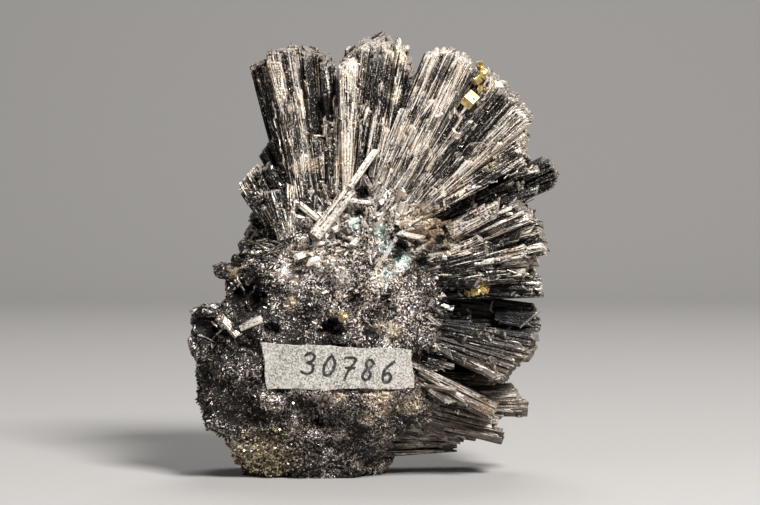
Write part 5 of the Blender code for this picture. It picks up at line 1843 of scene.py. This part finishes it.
class SPECIMEN_OT_stage(bpy.types.Operator):
    """Build the floor, lamps and camera"""

    bl_idname = "specimen.stage"
    bl_label = "Stage"

    def execute(self, context):
        stage = context.scene.specimen_stage
        sheet = piece("backdrop", sheet_shape(), backdrop_paper("seamless_paper", stage), smooth=True)
        world = bpy.data.worlds.new("studio")
        world.use_nodes = True
        sky = world.node_tree.nodes["Background"]
        sky.inputs["Color"].default_value = (*stage.sky, 1)
        sky.inputs["Strength"].default_value = SKY_STRENGTH
        context.scene.world = world
        context.scene.view_settings.view_transform = "Standard"
        for name, place, aim, size, watts in LAMPS:
            lamp = bpy.data.lights.new(name, "AREA")
            lamp.size = size
            lamp.energy = watts
            self.aimed(context, name, lamp, place, aim)
        camera = bpy.data.cameras.new("camera")
        camera.lens = LENS
        camera.sensor_width = FILM
        camera.clip_start = 0.01
        reach = VIEW_WIDTH * LENS / FILM
        lift = math.radians(ELEVATION)
        place = (AIM[0], AIM[1] - reach * math.cos(lift), AIM[2] + reach * math.sin(lift))
        context.scene.camera = self.aimed(context, "camera", camera, place, AIM)
        return {"FINISHED"}

    @staticmethod
    def aimed(context, name, data, place, aim):
        """An object at a place, its -Z axis pointing at aim."""
        made = bpy.data.objects.new(name, data)
        made.location = place
        towards = made.location.copy()
        towards.xyz = (aim[k] - place[k] for k in range(3))
        made.rotation_euler = towards.to_track_quat("-Z", "Y").to_euler()
        context.scene.collection.objects.link(made)
        return made


class SPECIMEN_PT_panel(bpy.types.Panel):
    """Lists the operators that build the specimen's pieces"""

    bl_idname = "SPECIMEN_PT_panel"
    bl_label = "Enargite Specimen"
    bl_space_type = "VIEW_3D"
    bl_region_type = "UI"
    bl_category = "Specimen"

    def draw(self, context):
        for operator in OPERATORS:
            self.layout.operator(operator.bl_idname)


OPERATORS = (
    SPECIMEN_OT_front_fans,
    SPECIMEN_OT_rear_fans,
    SPECIMEN_OT_back_crystals,
    SPECIMEN_OT_loose_blades,
    SPECIMEN_OT_root,
    SPECIMEN_OT_pyrite,
    SPECIMEN_OT_label,
    SPECIMEN_OT_stage,
)
SETTINGS = {
    "specimen_crystals": CrystalSettings,
    "specimen_root": RootSettings,
    "specimen_pyrite": PyriteSettings,
    "specimen_label": LabelSettings,
    "specimen_stage": StageSettings,
}


def register():
    for made in (*SETTINGS.values(), *OPERATORS, SPECIMEN_PT_panel):
        bpy.utils.register_class(made)
    for name, settings in SETTINGS.items():
        setattr(bpy.types.Scene, name, PointerProperty(type=settings))


def unregister():
    for name in SETTINGS:
        delattr(bpy.types.Scene, name)
    for made in (SPECIMEN_PT_panel, *OPERATORS, *SETTINGS.values()):
        bpy.utils.unregister_class(made)


def main():
    register()
    bpy.ops.specimen.front_fans()
    bpy.ops.specimen.rear_fans()
    bpy.ops.specimen.back_crystals()
    bpy.ops.specimen.root()
    bpy.ops.specimen.loose_blades()
    bpy.ops.specimen.pyrite()
    bpy.ops.specimen.label()
    bpy.ops.specimen.stage()
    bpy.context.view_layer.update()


if __name__ == "__main__":
    main()
